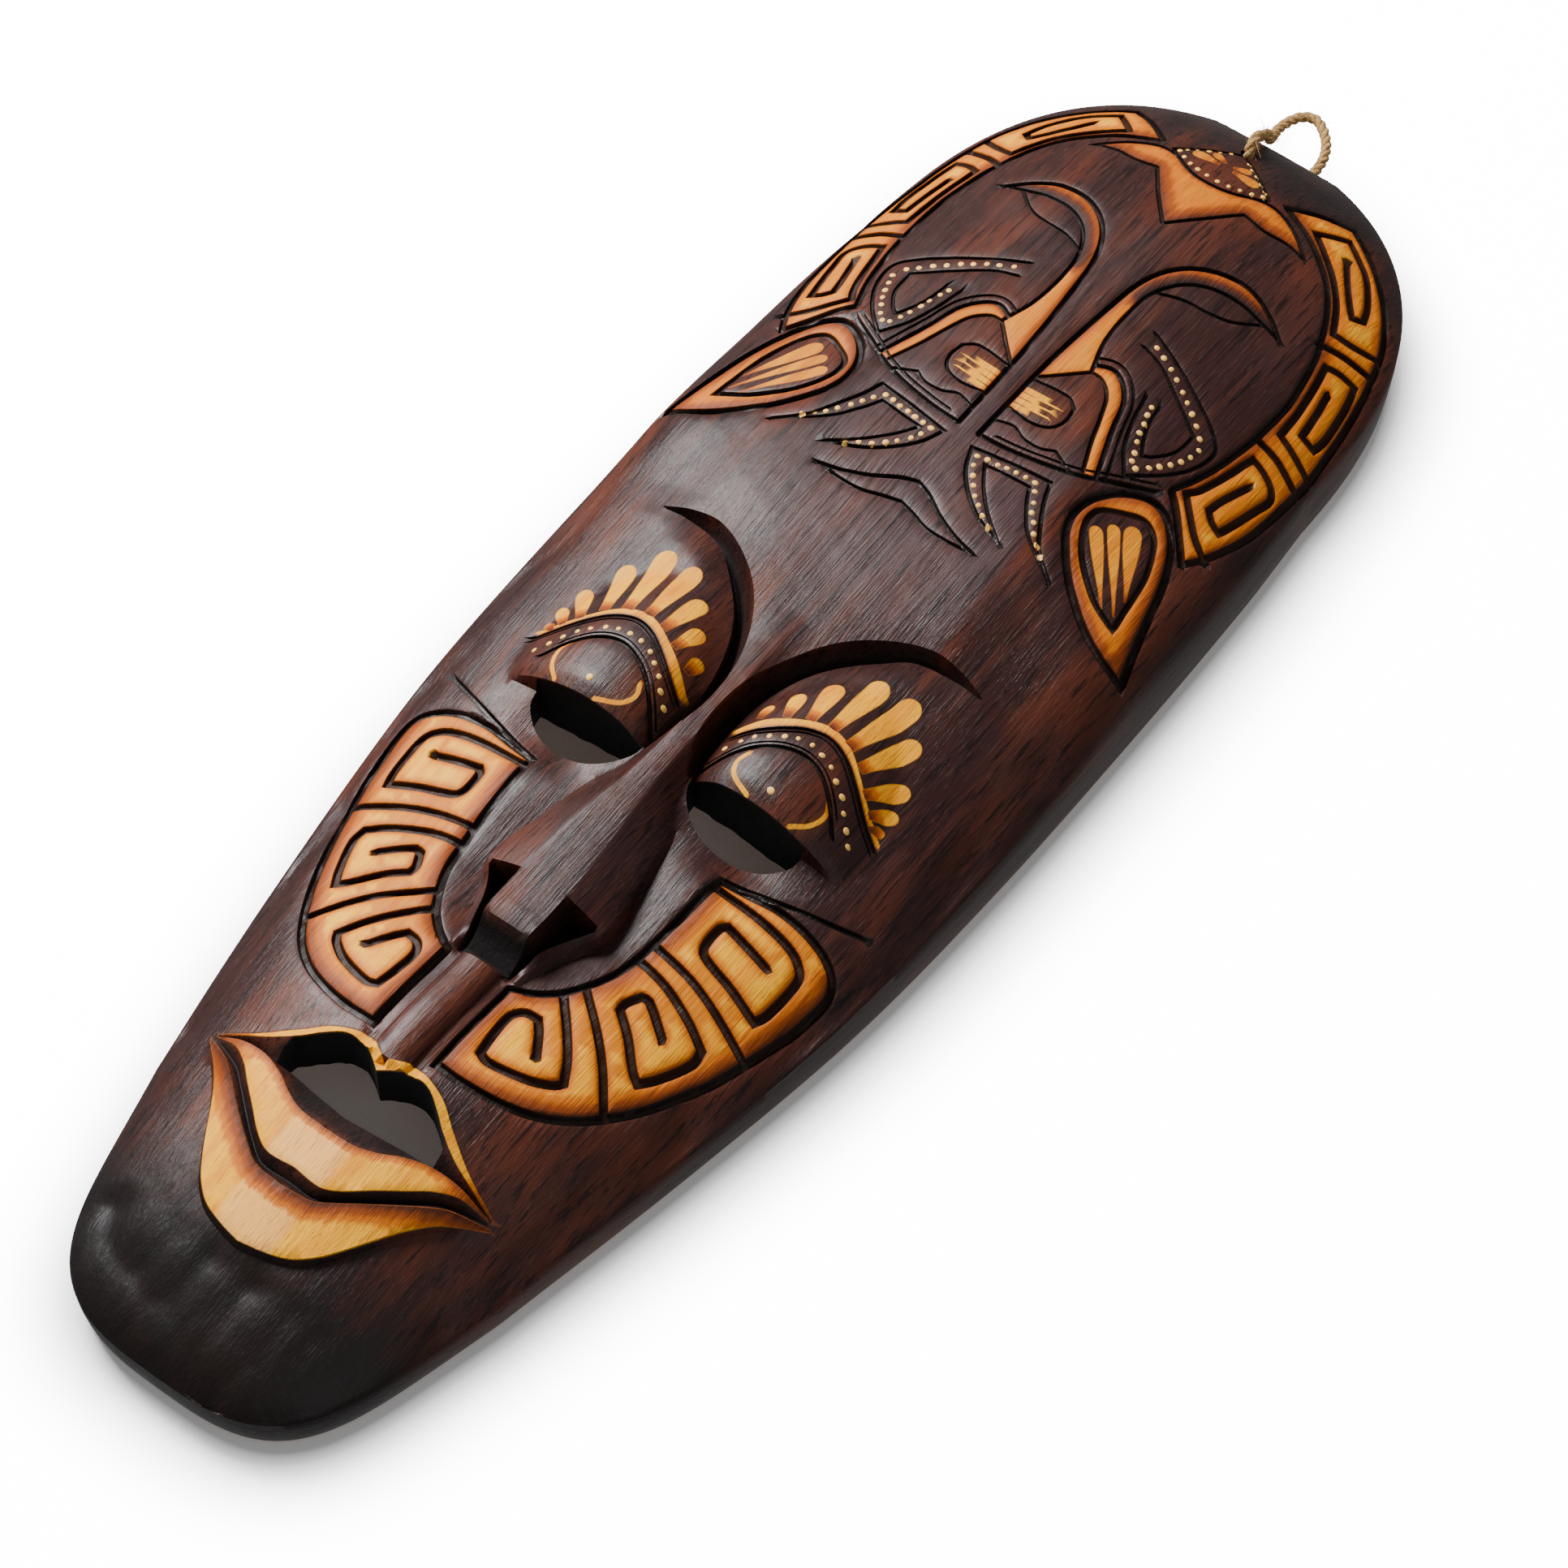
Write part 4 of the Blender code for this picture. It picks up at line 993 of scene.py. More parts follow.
# %% Lines of the eyes, the nose and the light figures
for line in (BROW, SOCKET, straight((44.5, EYE_TOP), (55, EYE_TOP)),
             straight((44.5, EYE_TOP - 0.8), (56, EYE_TOP - 0.8))):
    face.both(line)
for shift in (-0.2, 0.2, 1.0):
    face.both(upright(NOSE_FACET, shift))
for shift in (-0.2, 0.2, 1.6):
    face.both(upright(NOSE_WING, shift))
for shift in (0, -1.6):
    face.both(upright(NOSTRIL, shift))
for y in (NOSTRIL_TOP, NOSTRIL_TOP - 1.6):
    face.both(straight((7.6, y), (18.6, y)))
for y in (-104, -108, -111.5, -116):
    face.both(straight((0, y), (7.2, y)))
for line in (beside(SOCKET, -0.7), beside(SOCKET, -1.6), beside(SOCKET, 0.4), beside(BROW, 0.5),
             beside(BROW, 1.5), beside(BROW, -0.4)):
    face.both(line)
for offset in (0, 1.6, 3.2, 4.6, 5.7, 6.3):
    face.both(straight((offset, -118), (offset, -156)))
for outline, _, _ in FIGURES[-len(EYE_PETALS):] + INNER_FIGURES:
    for away in (-0.2, 0.2):
        face.both(beside(closed(outline), away))
for line, half in STROKES:
    for away in (-half - 0.12, -half + 0.12, half - 0.12, half + 0.12):
        face.both(beside(line, away))
for away in (-0.15, 0.15):
    face.both(beside(BAND_CREST, away))
for inset in (0.5, 1.2, 2.2, 3.6):
    face.line(inward(OUTLINE, inset), ring=True)
print("line points in the front sheet", len(face.points))

# %% Fill the plain areas and cut the triangles
GRID_GAP, CLEARANCE = 1.9, 0.9
spots = honeycomb((-82, -END), (82, END), GRID_GAP)
face.fill(spots[inside(spots, inward(OUTLINE, 4.6))], CLEARANCE)
print("points in the front sheet", len(face.points))
points, faces = face.triangles(OUTLINE, HOLES)
print("front triangles", len(faces))

# %% [markdown]
# Lifting the sheet and closing the mask
#
# A hand never cuts twice the same, so the grooves' depth and the wood between them vary by a
# fraction of a millimetre, and broad knife facets are left on the chin and the outer cheeks.
# A bump in the material would not show at the edges, so both are cut in the mesh. The hollow
# back is a second sheet. Walls join the two at the rim, the eyes, the mouth and the bore.

# %% Ripples and knife facets
FACET_SIZE = [9.0, 15.0]


def ripple(points, wave, seed, octaves=3):
    """Smooth random waves in plan, about from -1 to 1."""
    chance = np.random.default_rng(seed)
    total = np.zeros(len(points))
    for octave in range(octaves):
        for _ in range(5):
            angle = chance.uniform(0, 2 * math.pi)
            phase = chance.uniform(0, 2 * math.pi)
            way = np.array([math.cos(angle), math.sin(angle)]) * 2 * math.pi / wave
            total += np.sin(points @ way + phase) / 2 ** octave / 2.6
        wave /= 2
    return total


def facets(points):
    """Cells round chance centres, deeper towards their edges, as a knife leaves them."""
    chance = np.random.default_rng(5)
    centres = np.column_stack([chance.uniform(-80, 80, 420), chance.uniform(-252, 252, 420)])
    scaled = points / FACET_SIZE
    reach = np.full(len(points), 1e9)
    for centre in centres / FACET_SIZE:
        away = scaled - centre
        reach = np.minimum(reach, np.einsum("ij,ij->i", away, away))
    return np.minimum(reach, 1.2)


def plain_share(points):
    """Where the wood is plain enough for knife facets: the chin and the outer cheeks."""
    x, y = np.abs(points[:, 0]), points[:, 1]
    below = unit((-216 - y) / 6)
    outer = unit((x / np.maximum(half_width(y), 1) - 0.86) / 0.06)
    return np.maximum(below, outer * unit((60 - y) / 20))


print("ripple", round(float(ripple(np.zeros((1, 2)), 14, 3)[0]), 3))


# %% Height of the front
def front_height(points):
    """Height of the finished front, and how cut, scorched and dark it is."""
    depth, cut, halo = groove_depth(points)
    height, painted_shade = skin(points[:, 0], points[:, 1])
    edge_share = np.abs(points[:, 0]) / np.maximum(half_width(points[:, 1]), 0.5)
    calm = unit((0.995 - edge_share) / 0.03)
    depth *= 1 + 0.16 * ripple(points, 14, 3)
    height -= 1.5 * facets(points) * plain_share(points) * calm
    height -= plateau(points)[1]
    height += 0.10 * ripple(points, 26, 4) * calm
    return height - depth, cut, halo, painted_shade


height, cut, halo, painted_shade = front_height(points)
front = np.column_stack([points, height])
print("front from", round(height.min(), 1), "to", round(height.max(), 1), "mm")


# %% Height of the hollow and its slot
def hollow_height(points):
    """A coved hollow with the marks of a gouge."""
    cove = unit(distance(points, closed(INNER)) / 18)
    height = np.maximum(0, crown(points[:, 0], points[:, 1]) - WALL)
    height = height * np.sqrt(1 - (1 - cove) ** 2)
    gouge = 0.35 * ripple(points, 9, 6) * unit(cove * 3)
    height = np.where(inside(points, INNER), height + gouge * cove, 0)
    return np.maximum(0, height)


NOTCH_X, NOTCH_HALF, NOTCH_HEIGHT, NOTCH_FOOT = 5.0, 3.5, 4.8, 222


def notch_height(points):
    """The slot under the upper rim that lets the cord in."""
    slope = unit((NOTCH_HALF + 1.1 - np.abs(points[:, 0] - NOTCH_X)) / 1.1)
    return np.where(points[:, 1] > 200, NOTCH_HEIGHT * slope, 0)


print("slot", 2 * NOTCH_HALF, "mm wide")


# %% The sheet of the hollow back
back = Sheet()
back.line(RIM, ring=True)
back.line(INNER, ring=True)
for hole in HOLES:
    back.line(hole, ring=True)
for inset in (0.6, 1.6, 3.2, 5.5, 8.5):
    back.line(inward(INNER, inset), ring=True)
for away in (-NOTCH_HALF - 1.1, -NOTCH_HALF, NOTCH_HALF, NOTCH_HALF + 1.1):
    back.line([(NOTCH_X + away, NOTCH_FOOT), (NOTCH_X + away, END + 6)])
spots = honeycomb((-70, -240), (70, 240), 3.6)
back.fill(spots[inside(spots, inward(INNER, 10))], 2.0)
back_points, back_faces = back.triangles(RIM, HOLES)
back_height = np.maximum(hollow_height(back_points), notch_height(back_points))
behind = np.column_stack([back_points, back_height])
print("back triangles", len(back_faces))


# %% Borders of a sheet
def border_loops(faces):
    """Closed loops of border corners of a sheet."""
    edges = np.vstack([faces[:, [0, 1]], faces[:, [1, 2]], faces[:, [2, 0]]])
    known = {tuple(edge) for edge in edges.tolist()}
    follow = {a: b for a, b in known if (b, a) not in known}
    loops = []
    while follow:
        start, step = follow.popitem()
        loop = [start]
        while step != start:
            loop.append(step)
            step = follow.pop(step)
        loops.append(loop)
    return loops


print("loops round the front sheet", len(border_loops(faces)))


# %% Walls between the sheets
def wall(corners, upper, lower):
    """Triangles between two loops of corner numbers that run the same way."""
    gap = np.linalg.norm(corners[lower][:, :2] - corners[upper[0]][:2], axis=1)
    start = int(gap.argmin())
    lower = lower[start:] + lower[:start]
    spans = []
    for loop in (upper, lower):
        lengths = run(corners[loop + loop[:1]][:, :2])
        spans.append(lengths / lengths[-1])
    made = []
    first = second = 0
    while first < len(upper) or second < len(lower):
        here, below = upper[first % len(upper)], lower[second % len(lower)]
        up = second >= len(lower)
        if first < len(upper) and second < len(lower):
            up = spans[0][first + 1] <= spans[1][second + 1]
        if up:
            first += 1
            made.append((here, below, upper[first % len(upper)]))
        else:
            second += 1
            made.append((here, below, lower[second % len(lower)]))
    return made


def middle_row(corners, upper, lower, share, bulge):
    """Extra corners between the widest outline and the rim, for a rounded side."""
    top = corners[upper]
    foot_line = corners[lower + lower[:1]]
    row = []
    for corner in top:
        gaps = np.linalg.norm(foot_line[:, :2] - corner[:2], axis=1)
        foot = foot_line[gaps.argmin()]
        outward = corner[:2] - foot[:2]
        size = max(np.linalg.norm(outward), 1e-6)
        spot = corner * (1 - share) + np.array([*foot[:2], 0]) * share
        spot[:2] += outward / size * bulge
        row.append(spot)
    return np.array(row)


print("wall helpers ready")

# %% Join everything into one mesh
corners = np.vstack([front, behind])
shift = len(front)
triangles = [faces, back_faces[:, ::-1] + shift]
upper_loops = border_loops(faces)
lower_loops = [[index + shift for index in loop] for loop in border_loops(back_faces)]


def middle_of(loop):
    return corners[loop][:, :2].mean(axis=0)


outer_upper = max(upper_loops, key=lambda loop: np.ptp(corners[loop][:, 1]))
outer_lower = max(lower_loops, key=lambda loop: np.ptp(corners[loop][:, 1]))
rest = [loop for loop in lower_loops if loop is not outer_lower]
# Corners of the walls round the openings, which get full painted shade.
deep = {index for loop in rest for index in loop}
for upper in upper_loops:
    if upper is outer_upper:
        continue
    lower = min(rest, key=lambda loop: np.linalg.norm(middle_of(loop) - middle_of(upper)))
    # A ring 1.2 mm below each opening's edge, where the painted shade starts.
    level = list(range(len(corners), len(corners) + len(upper)))
    corners = np.vstack([corners, corners[upper] - [0, 0, 1.2]])
    deep.update(level)
    triangles.append(np.array(wall(corners, upper, level)))
    triangles.append(np.array(wall(corners, level, lower)))
above = outer_upper
for share, bulge in ((0.3, 0.35), (0.62, 0.45), (0.86, 0.4)):
    row = middle_row(corners, outer_upper, outer_lower, share, bulge)
    level = list(range(len(corners), len(corners) + len(row)))
    corners = np.vstack([corners, row])
    triangles.append(np.array(wall(corners, above, level)))
    above = level
triangles.append(np.array(wall(corners, above, outer_lower)))
triangles = np.vstack(triangles)
print("corners", len(corners), "triangles", len(triangles))


# %% A Blender mesh with its fields
SHARP_EDGE = math.radians(38)


def mesh_piece(name, places, polygons, finish):
    """A mesh object from places in millimetres."""
    data = bpy.data.meshes.new(name)
    data.from_pydata((places * MM).tolist(), [], [list(map(int, item)) for item in polygons])
    data.validate()
    data.shade_smooth()
    data.set_sharp_from_angle(angle=SHARP_EDGE)
    item = bpy.data.objects.new(name, data)
    bpy.context.scene.collection.objects.link(item)
    item.data.materials.append(finish.material)
    return item


def keep_field(item, name, values):
    """Keep a number at each corner of a mesh."""
    layer = item.data.attributes.new(name, "FLOAT", "POINT")
    layer.data.foreach_set("value", np.asarray(values, dtype=np.float32))


light, tone, burn, lip_highlight = figure_fields(points)
# The share of the flat forehead is kept for a painted sheen.
fields = {"light": light, "tone": tone, "burn": burn, "lip_highlight": lip_highlight, "cut": cut, "halo": halo,
          "painted_shade": painted_shade, "wear_and_painted_sheen": plateau(points)[0]}
for name in fields:
    fields[name] = np.concatenate([fields[name], np.zeros(len(corners) - len(points))])
# Full painted shade on the walls of the openings.
fields["painted_shade"][list(deep)] = 1
hidden = np.zeros(len(corners))
hidden[shift:shift + len(behind)] = 1
fields["back"] = hidden
print("light share", round(float(light.mean()), 3))

# %% [markdown]
# The wood
#
# The stain is a purplish brown, worn to a dull red in long patches, and almost black at the
# chin and the crown's end. Fine strokes run along the grain. The light figures are the bare
# wood, golden, with edges that were scorched from orange to brown. Two materials would meet in
# steps along the triangles. The same grain runs through both woods anyway, so one material
# mixes them by the fields that are kept at the corners of the mesh.

# %% Grain and stain
wood = Finish("carved_wood")
light_share, tone_share, burn_share = map(wood.field, ("light", "tone", "burn"))
lip_highlight_share, cut_share, halo_share = map(wood.field, ("lip_highlight", "cut", "halo"))
painted_sheen_share, painted_shade_share, back_share = map(wood.field, ("wear_and_painted_sheen", "painted_shade", "back"))
along, up = [wood.node("ShaderNodeSeparateXYZ", {}, {"Vector": wood.place()}, axis)
             for axis in (1, 2)]

strokes = wood.noise((900, 42, 500), 4, 0.6)
pores = wood.noise((2600, 120, 1500), 2, 0.5)
streaks = wood.noise((260, 14, 200), 3, 0.55)
patches = wood.noise((48, 11, 40), 3, 0.6)
clouds = wood.noise((30, 22, 30), 2, 0.5)

dark_line = strokes.step(0.52, 0.64)
pore_line = pores.step(0.60, 0.70)
wear_and_painted_sheen = patches.step(0.43, 0.63) * 0.85 + streaks.step(0.50, 0.70) * 0.35

stain = wood.blend(wear_and_painted_sheen.smaller(1), (0.027, 0.0088, 0.0075), (0.088, 0.0205, 0.0095))
stain = wood.blend(clouds.step(0.45, 0.7) * 0.35, stain, (0.030, 0.017, 0.018))
# Painted sheen: the flat middle of the forehead is lighter, as if it caught the light.
stain = wood.blend(painted_sheen_share * 0.5, stain, (0.066, 0.038, 0.038))
stain = wood.blend(dark_line * 0.8, stain, (0.0065, 0.003, 0.003))
stain = wood.blend(pore_line * 0.32, stain, (0.105, 0.048, 0.036))
chin = along.step(-0.186, -0.222).larger(along.step(0.214, 0.236) * 0.8)
stain = wood.blend(chin * 0.94, stain, (0.006, 0.0045, 0.0045))
print("stain blended")

# %% Bare wood and its scorched edges
golden = wood.blend(streaks.step(0.35, 0.7), (0.96, 0.44, 0.003), (0.84, 0.30, 0.001))
orange = wood.blend(streaks.step(0.35, 0.7), (0.58, 0.172, 0.0002), (0.40, 0.098, 0.0002))
bare = wood.blend(tone_share.smaller(1) * (0.75 + patches * 0.5), golden, orange)
# Painted highlight on the middle of the lower lip and the chin band.
bare = wood.blend(lip_highlight_share * 0.75, bare, (0.95, 0.47, 0.12))
bare = wood.blend(dark_line * 0.26, bare, (0.42, 0.105, 0.004))
bare = wood.blend(pore_line * 0.32, bare, (0.22, 0.06, 0.008))
heat = burn_share + (patches - 0.5) * 0.24 + (strokes - 0.5) * 0.42
heat = heat * burn_share.step(0, 0.12)
heat = heat.larger(halo_share * 0.36 + (strokes - 0.5) * 0.4 * halo_share)
bare = wood.blend(heat.step(0.02, 0.26), bare, (0.52, 0.128, 0.0003))
bare = wood.blend(heat.step(0.26, 0.52), bare, (0.24, 0.046, 0.003))
bare = wood.blend(heat.step(0.50, 0.78), bare, (0.07, 0.0145, 0.004))
bare = wood.blend(heat.step(0.78, 1.05), bare, (0.018, 0.006, 0.004))
print("bare wood blended")

# %% The whole surface and its sheen
surface = wood.blend(light_share, stain, bare)
groove_dark = cut_share.step(0.02, 0.30)
surface = wood.blend(groove_dark * 0.95, surface, (0.0055, 0.003, 0.0025))
# A lighter grey at half strength, low on the side near the table, at the chin end.
low_chin_side_grey = up.step(0.0075, 0.001) * along.step(-0.16, -0.21) * 0.5
surface = wood.blend(low_chin_side_grey, surface, (0.055, 0.05, 0.048))
raw_back = wood.blend(dark_line, (0.16, 0.075, 0.034), (0.09, 0.038, 0.018))
surface = wood.blend(back_share, surface, raw_back)
# Painted shade, near black, in the eye moats, nostrils, lip trough and openings, and under the
# nose.
surface = wood.blend(painted_shade_share, surface, (0.0035, 0.0022, 0.002))

gloss = 0.29 + streaks * 0.2 + light_share * 0.14 + back_share * 0.3 + painted_shade_share * 0.3
height_map = strokes * 0.6 + pores * 0.4 + streaks * 0.5
bump = wood.bump(height_map, 0.75, 0.0005)
coat = (1 - light_share) * (1 - painted_shade_share) * 0.05
wood.feed(Base_Color=surface, Roughness=gloss, Normal=bump, Coat_Weight=coat,
          Coat_Roughness=0.25, Specular_IOR_Level=0.2)
print("wood nodes", len(wood.tree.nodes))

# %% The carved piece
mask = mesh_piece("carved_mask", corners, triangles, wood)
for name, values in fields.items():
    keep_field(mask, name, values)
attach(mask, "root")
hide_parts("mask")
print("mask faces", len(mask.data.polygons))

# %% [markdown]
# Painted dots
#
# The cream dots are dabs of thick paint. A colour alone would leave them flat, so each one is
# a low dome that sits on the wood. They stand in rows, so a row is a line and a number of
# dots, spread evenly along it.

# %% Rows of dots
DOT_ROWS = [([(52.4, 129.4), (51.9, 126.4), (51, 124), (49.5, 120.6), (47.6, 117.4),
              (45.6, 114.6), (43.4, 112), (41.9, 111.4), (40.6, 114.6), (39, 117.8),
              (37.7, 121.2), (36.6, 125), (35.6, 128.6), (34.6, 131.6)], 14, 0.95),
            ([(50.3, 133), (44.3, 137.8), (38, 141.9), (31.8, 145.4), (24.6, 148.6)], 9, 0.95),
            ([(25.4, 89), (16.4, 87.9), (8, 86.6)], 7, 0.95),
            ([(8.8, 83.6), (12, 78.4), (17, 73.6), (24, 69)], 7, 0.95),
            ([(27.4, 86.4), (31.2, 80), (36, 74.4), (40.6, 70.8)], 7, 0.95),
            ([(3.2, 227), (8.4, 223), (13.4, 219.2)], 5, 0.85),
            ([(14.6, 217), (10.4, 214.2), (5.4, 212.4), (1.9, 211.9)], 5, 0.85),
            ([(52.6, -32), (49.6, -29), (46.4, -25.9), (42.6, -22.6), (38.6, -19.9),
              (34, -18.4), (30.4, -18), (26.6, -18.4), (22.8, -19.8), (19.2, -21.8),
              (16.2, -24.2), (13.4, -26.8), (10.4, -29.6)], 14, 0.85),
            ([(30.3, -35.6), (30.4, -35.6)], 1, 1.05)]
print("dots", sum(count for _, count, _ in DOT_ROWS), "a side")


# %% One dab of cream paint
DAB_SIDES = 10
DAB_RINGS = [(0.0, 0.34), (0.5, 0.29), (0.82, 0.17), (1.0, -0.12)]


def dab(centre, radius, chance):
    """A low dome in plan: rings of places and their height over the wood."""
    lean = chance.uniform(-0.12, 0.12)
    spots = [(centre[0], centre[1], DAB_RINGS[0][1])]
    for share, lift in DAB_RINGS[1:]:
        for step in range(DAB_SIDES):
            turn = 2 * math.pi * step / DAB_SIDES
            size = radius * share * (1 + lean * math.cos(2 * turn + lean * 30))
            spots.append((centre[0] + size * math.cos(turn), centre[1] + size * math.sin(turn),
                          lift))
    return spots


def dab_faces(start):
    """Polygons of one dab, whose first corner has the number start."""
    first = start + 1
    steps = [(step, (step + 1) % DAB_SIDES) for step in range(DAB_SIDES)]
    made = [(start, first + step, first + after) for step, after in steps]
    for _ in DAB_RINGS[2:]:
        second = first + DAB_SIDES
        made += [(first + step, second + step, second + after, first + after)
                 for step, after in steps]
        first = second
    made.append(tuple(first + step for step in reversed(range(DAB_SIDES))))
    return made


print("dab of", len(dab_faces(0)), "polygons")

# %% All the dabs
chance = np.random.default_rng(11)
dabs = []
dab_polygons = []
for row, count, radius in DOT_ROWS:
    for x, y in spread(smooth(row), count):
        for side in (-1, 1):
            centre = (side * x + chance.uniform(-0.25, 0.25), y + chance.uniform(-0.25, 0.25))
            dab_polygons += dab_faces(len(dabs))
            dabs += dab(centre, radius * chance.uniform(0.86, 1.12), chance)
dabs = np.array(dabs)
dabs[:, 2] += front_height(dabs[:, :2])[0]

cream = Finish("cream_paint")
mottle = cream.noise((900, 900, 900), 2)
cream.feed(Base_Color=cream.blend(mottle, (0.95, 0.56, 0.13), (0.85, 0.43, 0.07)),
           Roughness=0.5)
dots = mesh_piece("paint_dots", dabs, dab_polygons, cream)
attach(dots, "root")
print("dab polygons", len(dab_polygons))

# %% [markdown]
# The hanging loop
#
# Jute twine is three strands twisted together, hairy all over. It leaves the bore, falls over
# the crown's edge, lies in a loop on the table and runs in under the rim to its knot. The
# route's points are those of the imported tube. A bump on one tube would not show the twist at
# its sides, so each strand is a tube that winds round the route, and each hair is a thin one.

# %% The route of the twine
CORD_DIAMETER = 0.003
CORD_ROUTE = [(0, 231.5, 31), (0, 231.6, 34.8), (-0.2, 233, 37.4), (-0.7, 236.2, 37.6),
              (-1.5, 240.2, 34), (-2.7, 244.6, 29.8), (-4.3, 249.2, 24.8), (-6, 253.2, 19.4),
              (-8, 257.2, 13.6), (-10.2, 261.6, 8), (-12, 266.6, 3.9), (-13, 271.6, 2),
              (-12.2, 276.4, 1.55), (-10, 280, 1.55), (-6.4, 281.4, 1.55),
              (-2.3, 279.2, 1.55), (1.6, 275, 1.55), (4.2, 269.4, 1.55), (5, 262.6, 1.55),
              (5, 255.6, 1.55), (5, 249, 1.7), (5, 242, 1.8), (5, 236, 1.8),
              (5, 230.5, 1.8)]


def route_line(route, steps):
    """A smooth line through the points of a route."""
    points = [Vector(point) for point in route]
    result = []
    for index in range(len(points) - 1):
        before, here = points[max(0, index - 1)], points[index]
        after, beyond = points[index + 1], points[min(len(points) - 1, index + 2)]
        result += interpolate_bezier(here, here + (after - before) / 6,
                                     after - (beyond - here) / 6, after, steps + 1)[:-1]
    return np.array([tuple(point) for point in result + [points[-1]]])


GAP = 0.55
route = route_line(CORD_ROUTE, 12)
route = spread(route, round(run(route)[-1] / GAP))


# %% Directions across a line
def frames(line, ring=False):
    """Two directions across a line at each of its points, turning as little as possible."""
    before = np.roll(line, 1, axis=0) if ring else np.vstack([line[:1], line[:-1]])
    after = np.roll(line, -1, axis=0) if ring else np.vstack([line[1:], line[-1:]])
    ahead = after - before
    ahead /= np.linalg.norm(ahead, axis=1)[:, None]
    first = np.cross(ahead[0], [0, 0, 1.0])
    if np.linalg.norm(first) < 0.1:
        first = np.cross(ahead[0], [1.0, 0, 0])
    sides = []
    for way in ahead:
        first = first - way * (first @ way)
        first /= np.linalg.norm(first)
        sides.append(first)
    sides = np.array(sides)
    return sides, np.cross(ahead, sides)


print("directions at", len(frames(route)[0]), "places")


# %% Tubes
def tube(line, radius, sides, ring=False):
    """Places and polygons of a tube with closed ends."""
    first, second = frames(line, ring)
    turn = np.linspace(0, 2 * math.pi, sides, endpoint=False)
    radius = np.broadcast_to(radius, (len(line),))
    around = (np.cos(turn)[None, :, None] * first[:, None, :]
              + np.sin(turn)[None, :, None] * second[:, None, :])
    places = (line[:, None, :] + around * radius[:, None, None]).reshape(-1, 3)
    polygons = []
    count = len(line)
    for row in range(count if ring else count - 1):
        here, after = row * sides, (row + 1) % count * sides
        for step in range(sides):
            turned = (step + 1) % sides
            polygons.append((here + step, here + turned, after + turned, after + step))
    if not ring:
        polygons.append(tuple(range(sides - 1, -1, -1)))
        polygons.append(tuple(range((count - 1) * sides, count * sides)))
    return places, polygons


def join(parts):
    """Many meshes as one."""
    places, polygons = [], []
    start = 0
    for spots, shapes in parts:
        places.append(spots)
        polygons += [tuple(index + start for index in shape) for shape in shapes]
        start += len(spots)
    return np.vstack(places), polygons


print("tube of", len(tube(route, 1, 9)[1]), "polygons")

# %% Twisted strands
STRANDS = 3


def twisted(line, diameter, pitch, ring=False):
    """Strands that wind round a line."""
    lengths = run(line)
    if ring:
        whole = lengths[-1] + np.linalg.norm(line[0] - line[-1])
        pitch = whole / round(whole / pitch)
    first, second = frames(line, ring)
    made = []
    for strand in range(STRANDS):
        turn = lengths / pitch * 2 * math.pi + 2 * math.pi * strand / STRANDS
        off = diameter * 0.27
        centre = line + off * (np.cos(turn)[:, None] * first + np.sin(turn)[:, None] * second)
        made.append(tube(centre, diameter * 0.30, 9, ring))
    return join(made)


print("strands", STRANDS)

# %% Jute and the cord
jute = Finish("jute")
tangle = jute.noise((1800, 1800, 1800), 3, 0.6)
bands = jute.noise((260, 260, 260), 2)
straw = jute.blend(tangle.step(0.32, 0.68), (0.20, 0.105, 0.042), (0.62, 0.37, 0.13))
straw = jute.blend(bands.step(0.45, 0.75) * 0.5, straw, (0.38, 0.20, 0.07))
jute.feed(Base_Color=straw, Roughness=0.9, Normal=jute.bump(tangle, 0.8, 0.0003))

CORD_MM = CORD_DIAMETER / MM
CORD_PITCH = 8.4
cord = mesh_piece("jute_cord", *twisted(route, CORD_MM, CORD_PITCH), jute)
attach(cord, "root")
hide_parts("hanging_cord")
print("cord polygons", len(cord.data.polygons))

# %% Loose hairs
LOWEST_HAIR = 0.35


def hairs(line, radius, count, longest, chance):
    """Loose fibres that leave a cord and curl away."""
    first, second = frames(line)
    made = []
    for _ in range(count):
        index = int(chance.integers(2, len(line) - 2))
        turn = chance.uniform(0, 2 * math.pi)
        out = math.cos(turn) * first[index] + math.sin(turn) * second[index]
        way = line[index + 1] - line[index - 1]
        way = way / np.linalg.norm(way) * chance.choice([-1, 1])
        size = longest * chance.uniform(0.25, 1) ** 1.6
        bend = chance.normal(0, 0.45, 3)
        share = np.linspace(0, 1, 7)[:, None]
        path = (line[index] + out * radius * 0.8 + share * size * (0.55 * out + 0.75 * way)
                + share ** 2 * size * bend)
        path[:, 2] = np.maximum(path[:, 2], LOWEST_HAIR)
        made.append(tube(path, np.linspace(0.075, 0.03, 7), 3))
    return made


chance = np.random.default_rng(23)
fibres = hairs(route[6:-4], CORD_MM / 2, 330, 3.6, chance)
fibres += hairs(route[4:60], CORD_MM / 2, 90, 6.0, chance)
hair = mesh_piece("jute_hairs", *join(fibres), jute)
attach(hair, "root")
print("hairs", len(fibres))

# %% The knot inside the hollow
KNOT_PLACE = [5, 226.0, 3.65]
KNOT_CORD, KNOT_PITCH = 1.9, 3.4
turn = np.linspace(0, 2 * math.pi, 90, endpoint=False)
knot_line = np.column_stack([np.sin(turn) + 2 * np.sin(2 * turn), -1.6 * np.sin(3 * turn),
                             np.cos(turn) - 2 * np.cos(2 * turn)]) * 0.86
knot_line += KNOT_PLACE
knot = mesh_piece("jute_knot", *twisted(knot_line, KNOT_CORD, KNOT_PITCH, ring=True), jute)
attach(knot, "root")
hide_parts("cord_knot")
print("knot", round(float(np.ptp(knot_line[:, 0])), 1), "mm wide")

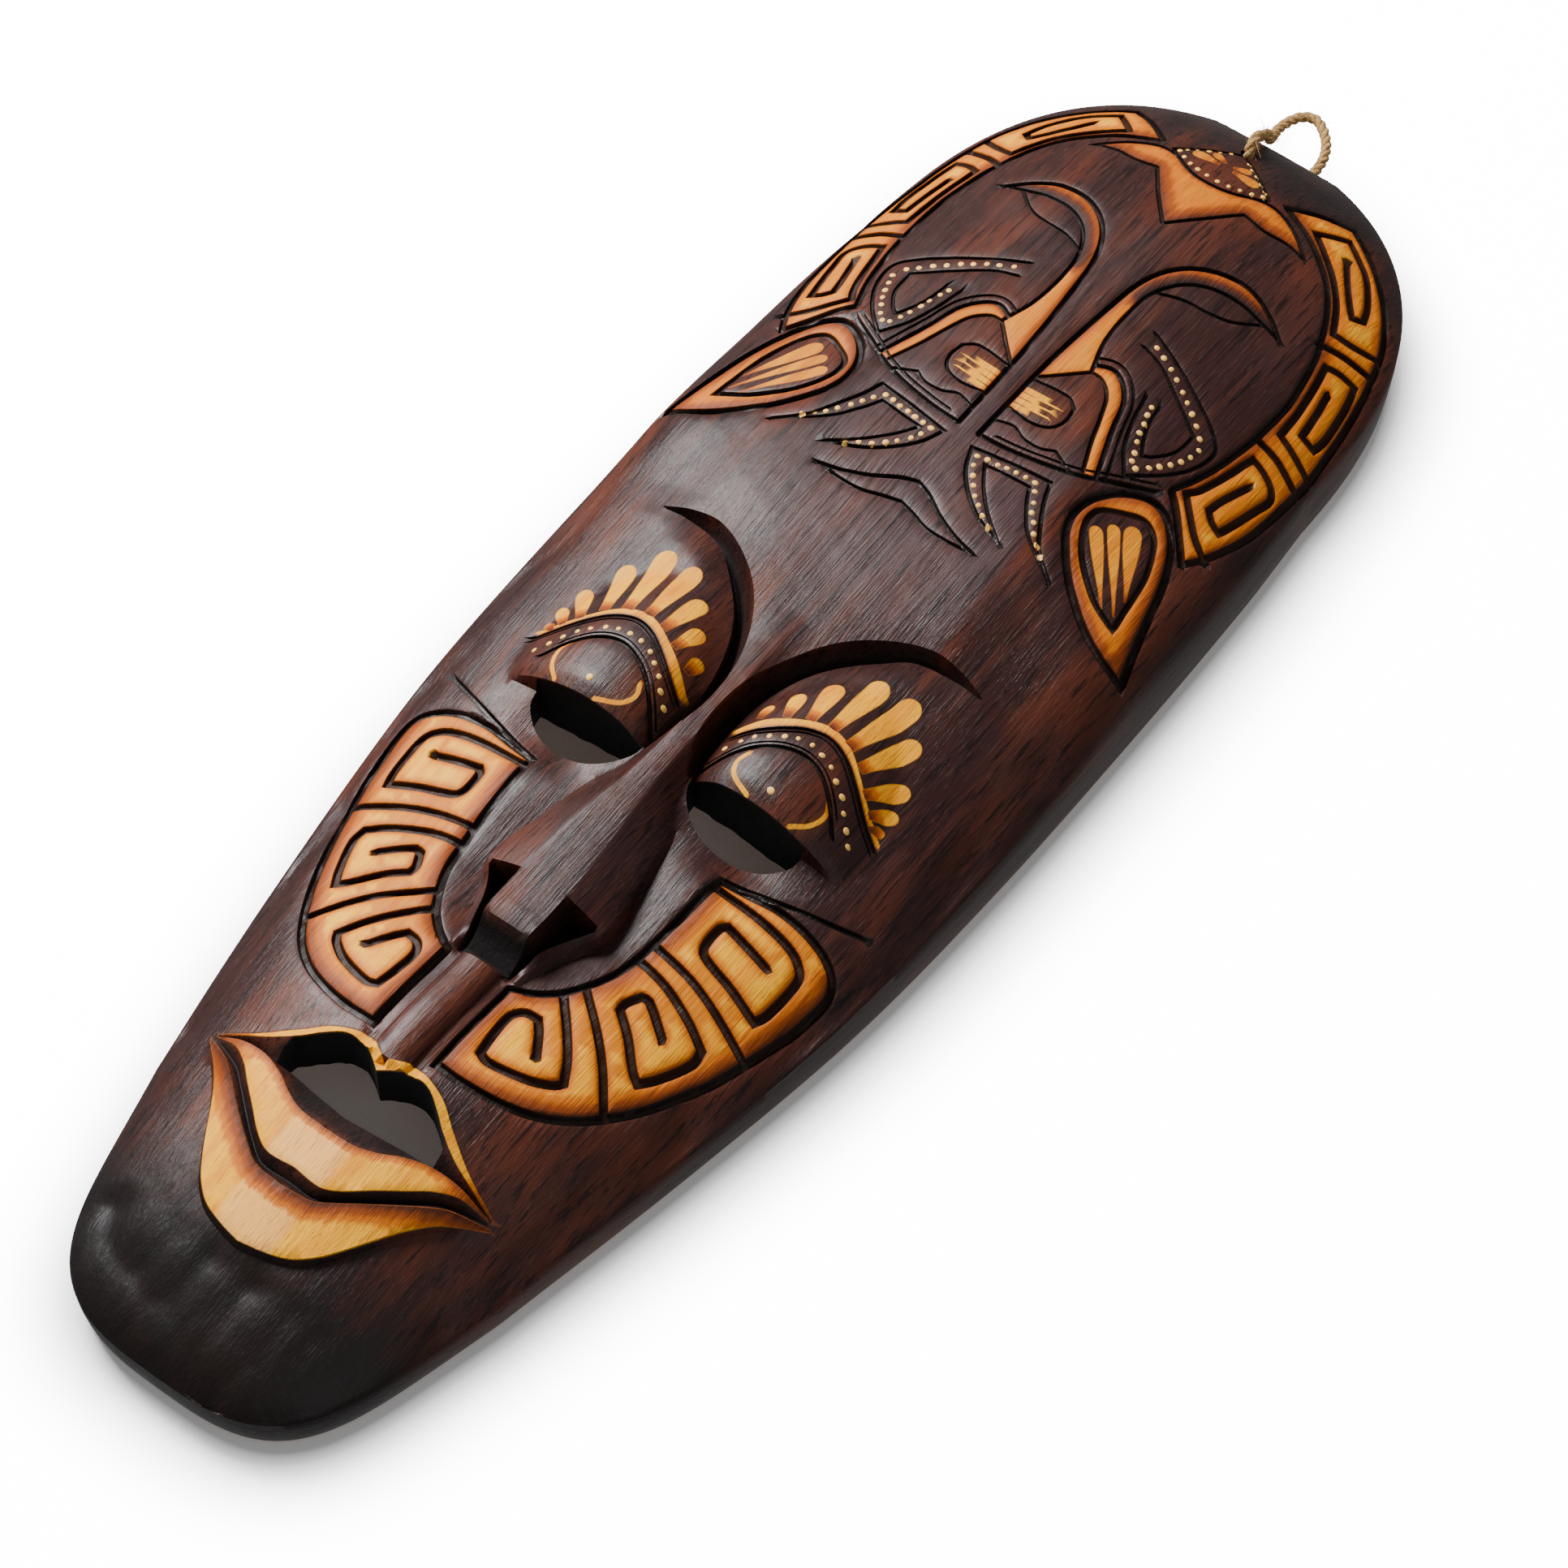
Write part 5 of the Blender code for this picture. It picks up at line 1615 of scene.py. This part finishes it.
# %% [markdown]
# Table and light
#
# The picture is a product shot on white: a pale floor, one big soft light from the upper
# left, a weak one from the right and an even surround. A pale floor alone would come out grey
# under lamps that suit the dark wood, so it gives off light of its own, except near the mask,
# where the field called open paints a soft shadow. It is kept from lighting the wood.

# %% Floor
table = Finish("table_top")
# The floor's own glow, dimmed to a painted shadow near the mask by the field open.
table.feed(Base_Color=(0.9, 0.9, 0.9, 1), Roughness=0.8, Emission_Strength=14.0,
           Emission_Color=table.blend(table.field("open"), (0, 0, 0), (1, 1, 1)))
FAR = 3000.0
# The painted shadow follows the outline, moved away from the key light.
SHADOW = OUTLINE + [3.0, -3.0]
sheet = Sheet()
SHADE_RINGS = (-9, -3, 0, 3, 7, 12, 19, 28, 40)
for away in SHADE_RINGS:
    sheet.line(inward(SHADOW, -away), ring=True)
square = np.array([(-FAR, -FAR), (FAR, -FAR), (FAR, FAR), (-FAR, FAR)])
sheet.line(square, ring=True)
floor_points, floor_faces = sheet.triangles(square, [])
# Painted shadow: no glow 4 mm inside the moved outline, full glow 28 mm outside it.
gap = distance(floor_points, closed(SHADOW))
gap = np.where(inside(floor_points, SHADOW), -gap, gap)
reach = unit((gap + 4) / 32)
floor = mesh_piece("floor", np.column_stack([floor_points, np.zeros(len(floor_points))]),
                   floor_faces, table)
keep_field(floor, "open", np.maximum(0.0015, reach * reach * (3 - 2 * reach)))
floor.location.z = -0.0002
floor.visible_diffuse = False
floor.visible_glossy = False
print("floor polygons", len(floor.data.polygons))


# %% Lamps and surround
def lamp(name, place, size, power):
    """A square soft light that is aimed at the middle of the mask."""
    data = bpy.data.lights.new(name, "AREA")
    data.shape = "SQUARE"
    data.size = size
    data.energy = power
    item = bpy.data.objects.new(name, data)
    bpy.context.scene.collection.objects.link(item)
    item.location = place
    item.rotation_euler = (-Vector(place)).to_track_quat("-Z", "Y").to_euler()


lamp("key", (-1.15, 0.3, 1.2), 0.7, 74)
lamp("fill", (1.2, -0.7, 1.0), 1.2, 4)
world = bpy.data.worlds.new("surround")
world.use_nodes = True
surround = world.node_tree.nodes["Background"].inputs
surround["Color"].default_value = (1, 1, 1, 1)
surround["Strength"].default_value = 0.28
bpy.context.scene.world = world
print("lamps ready")
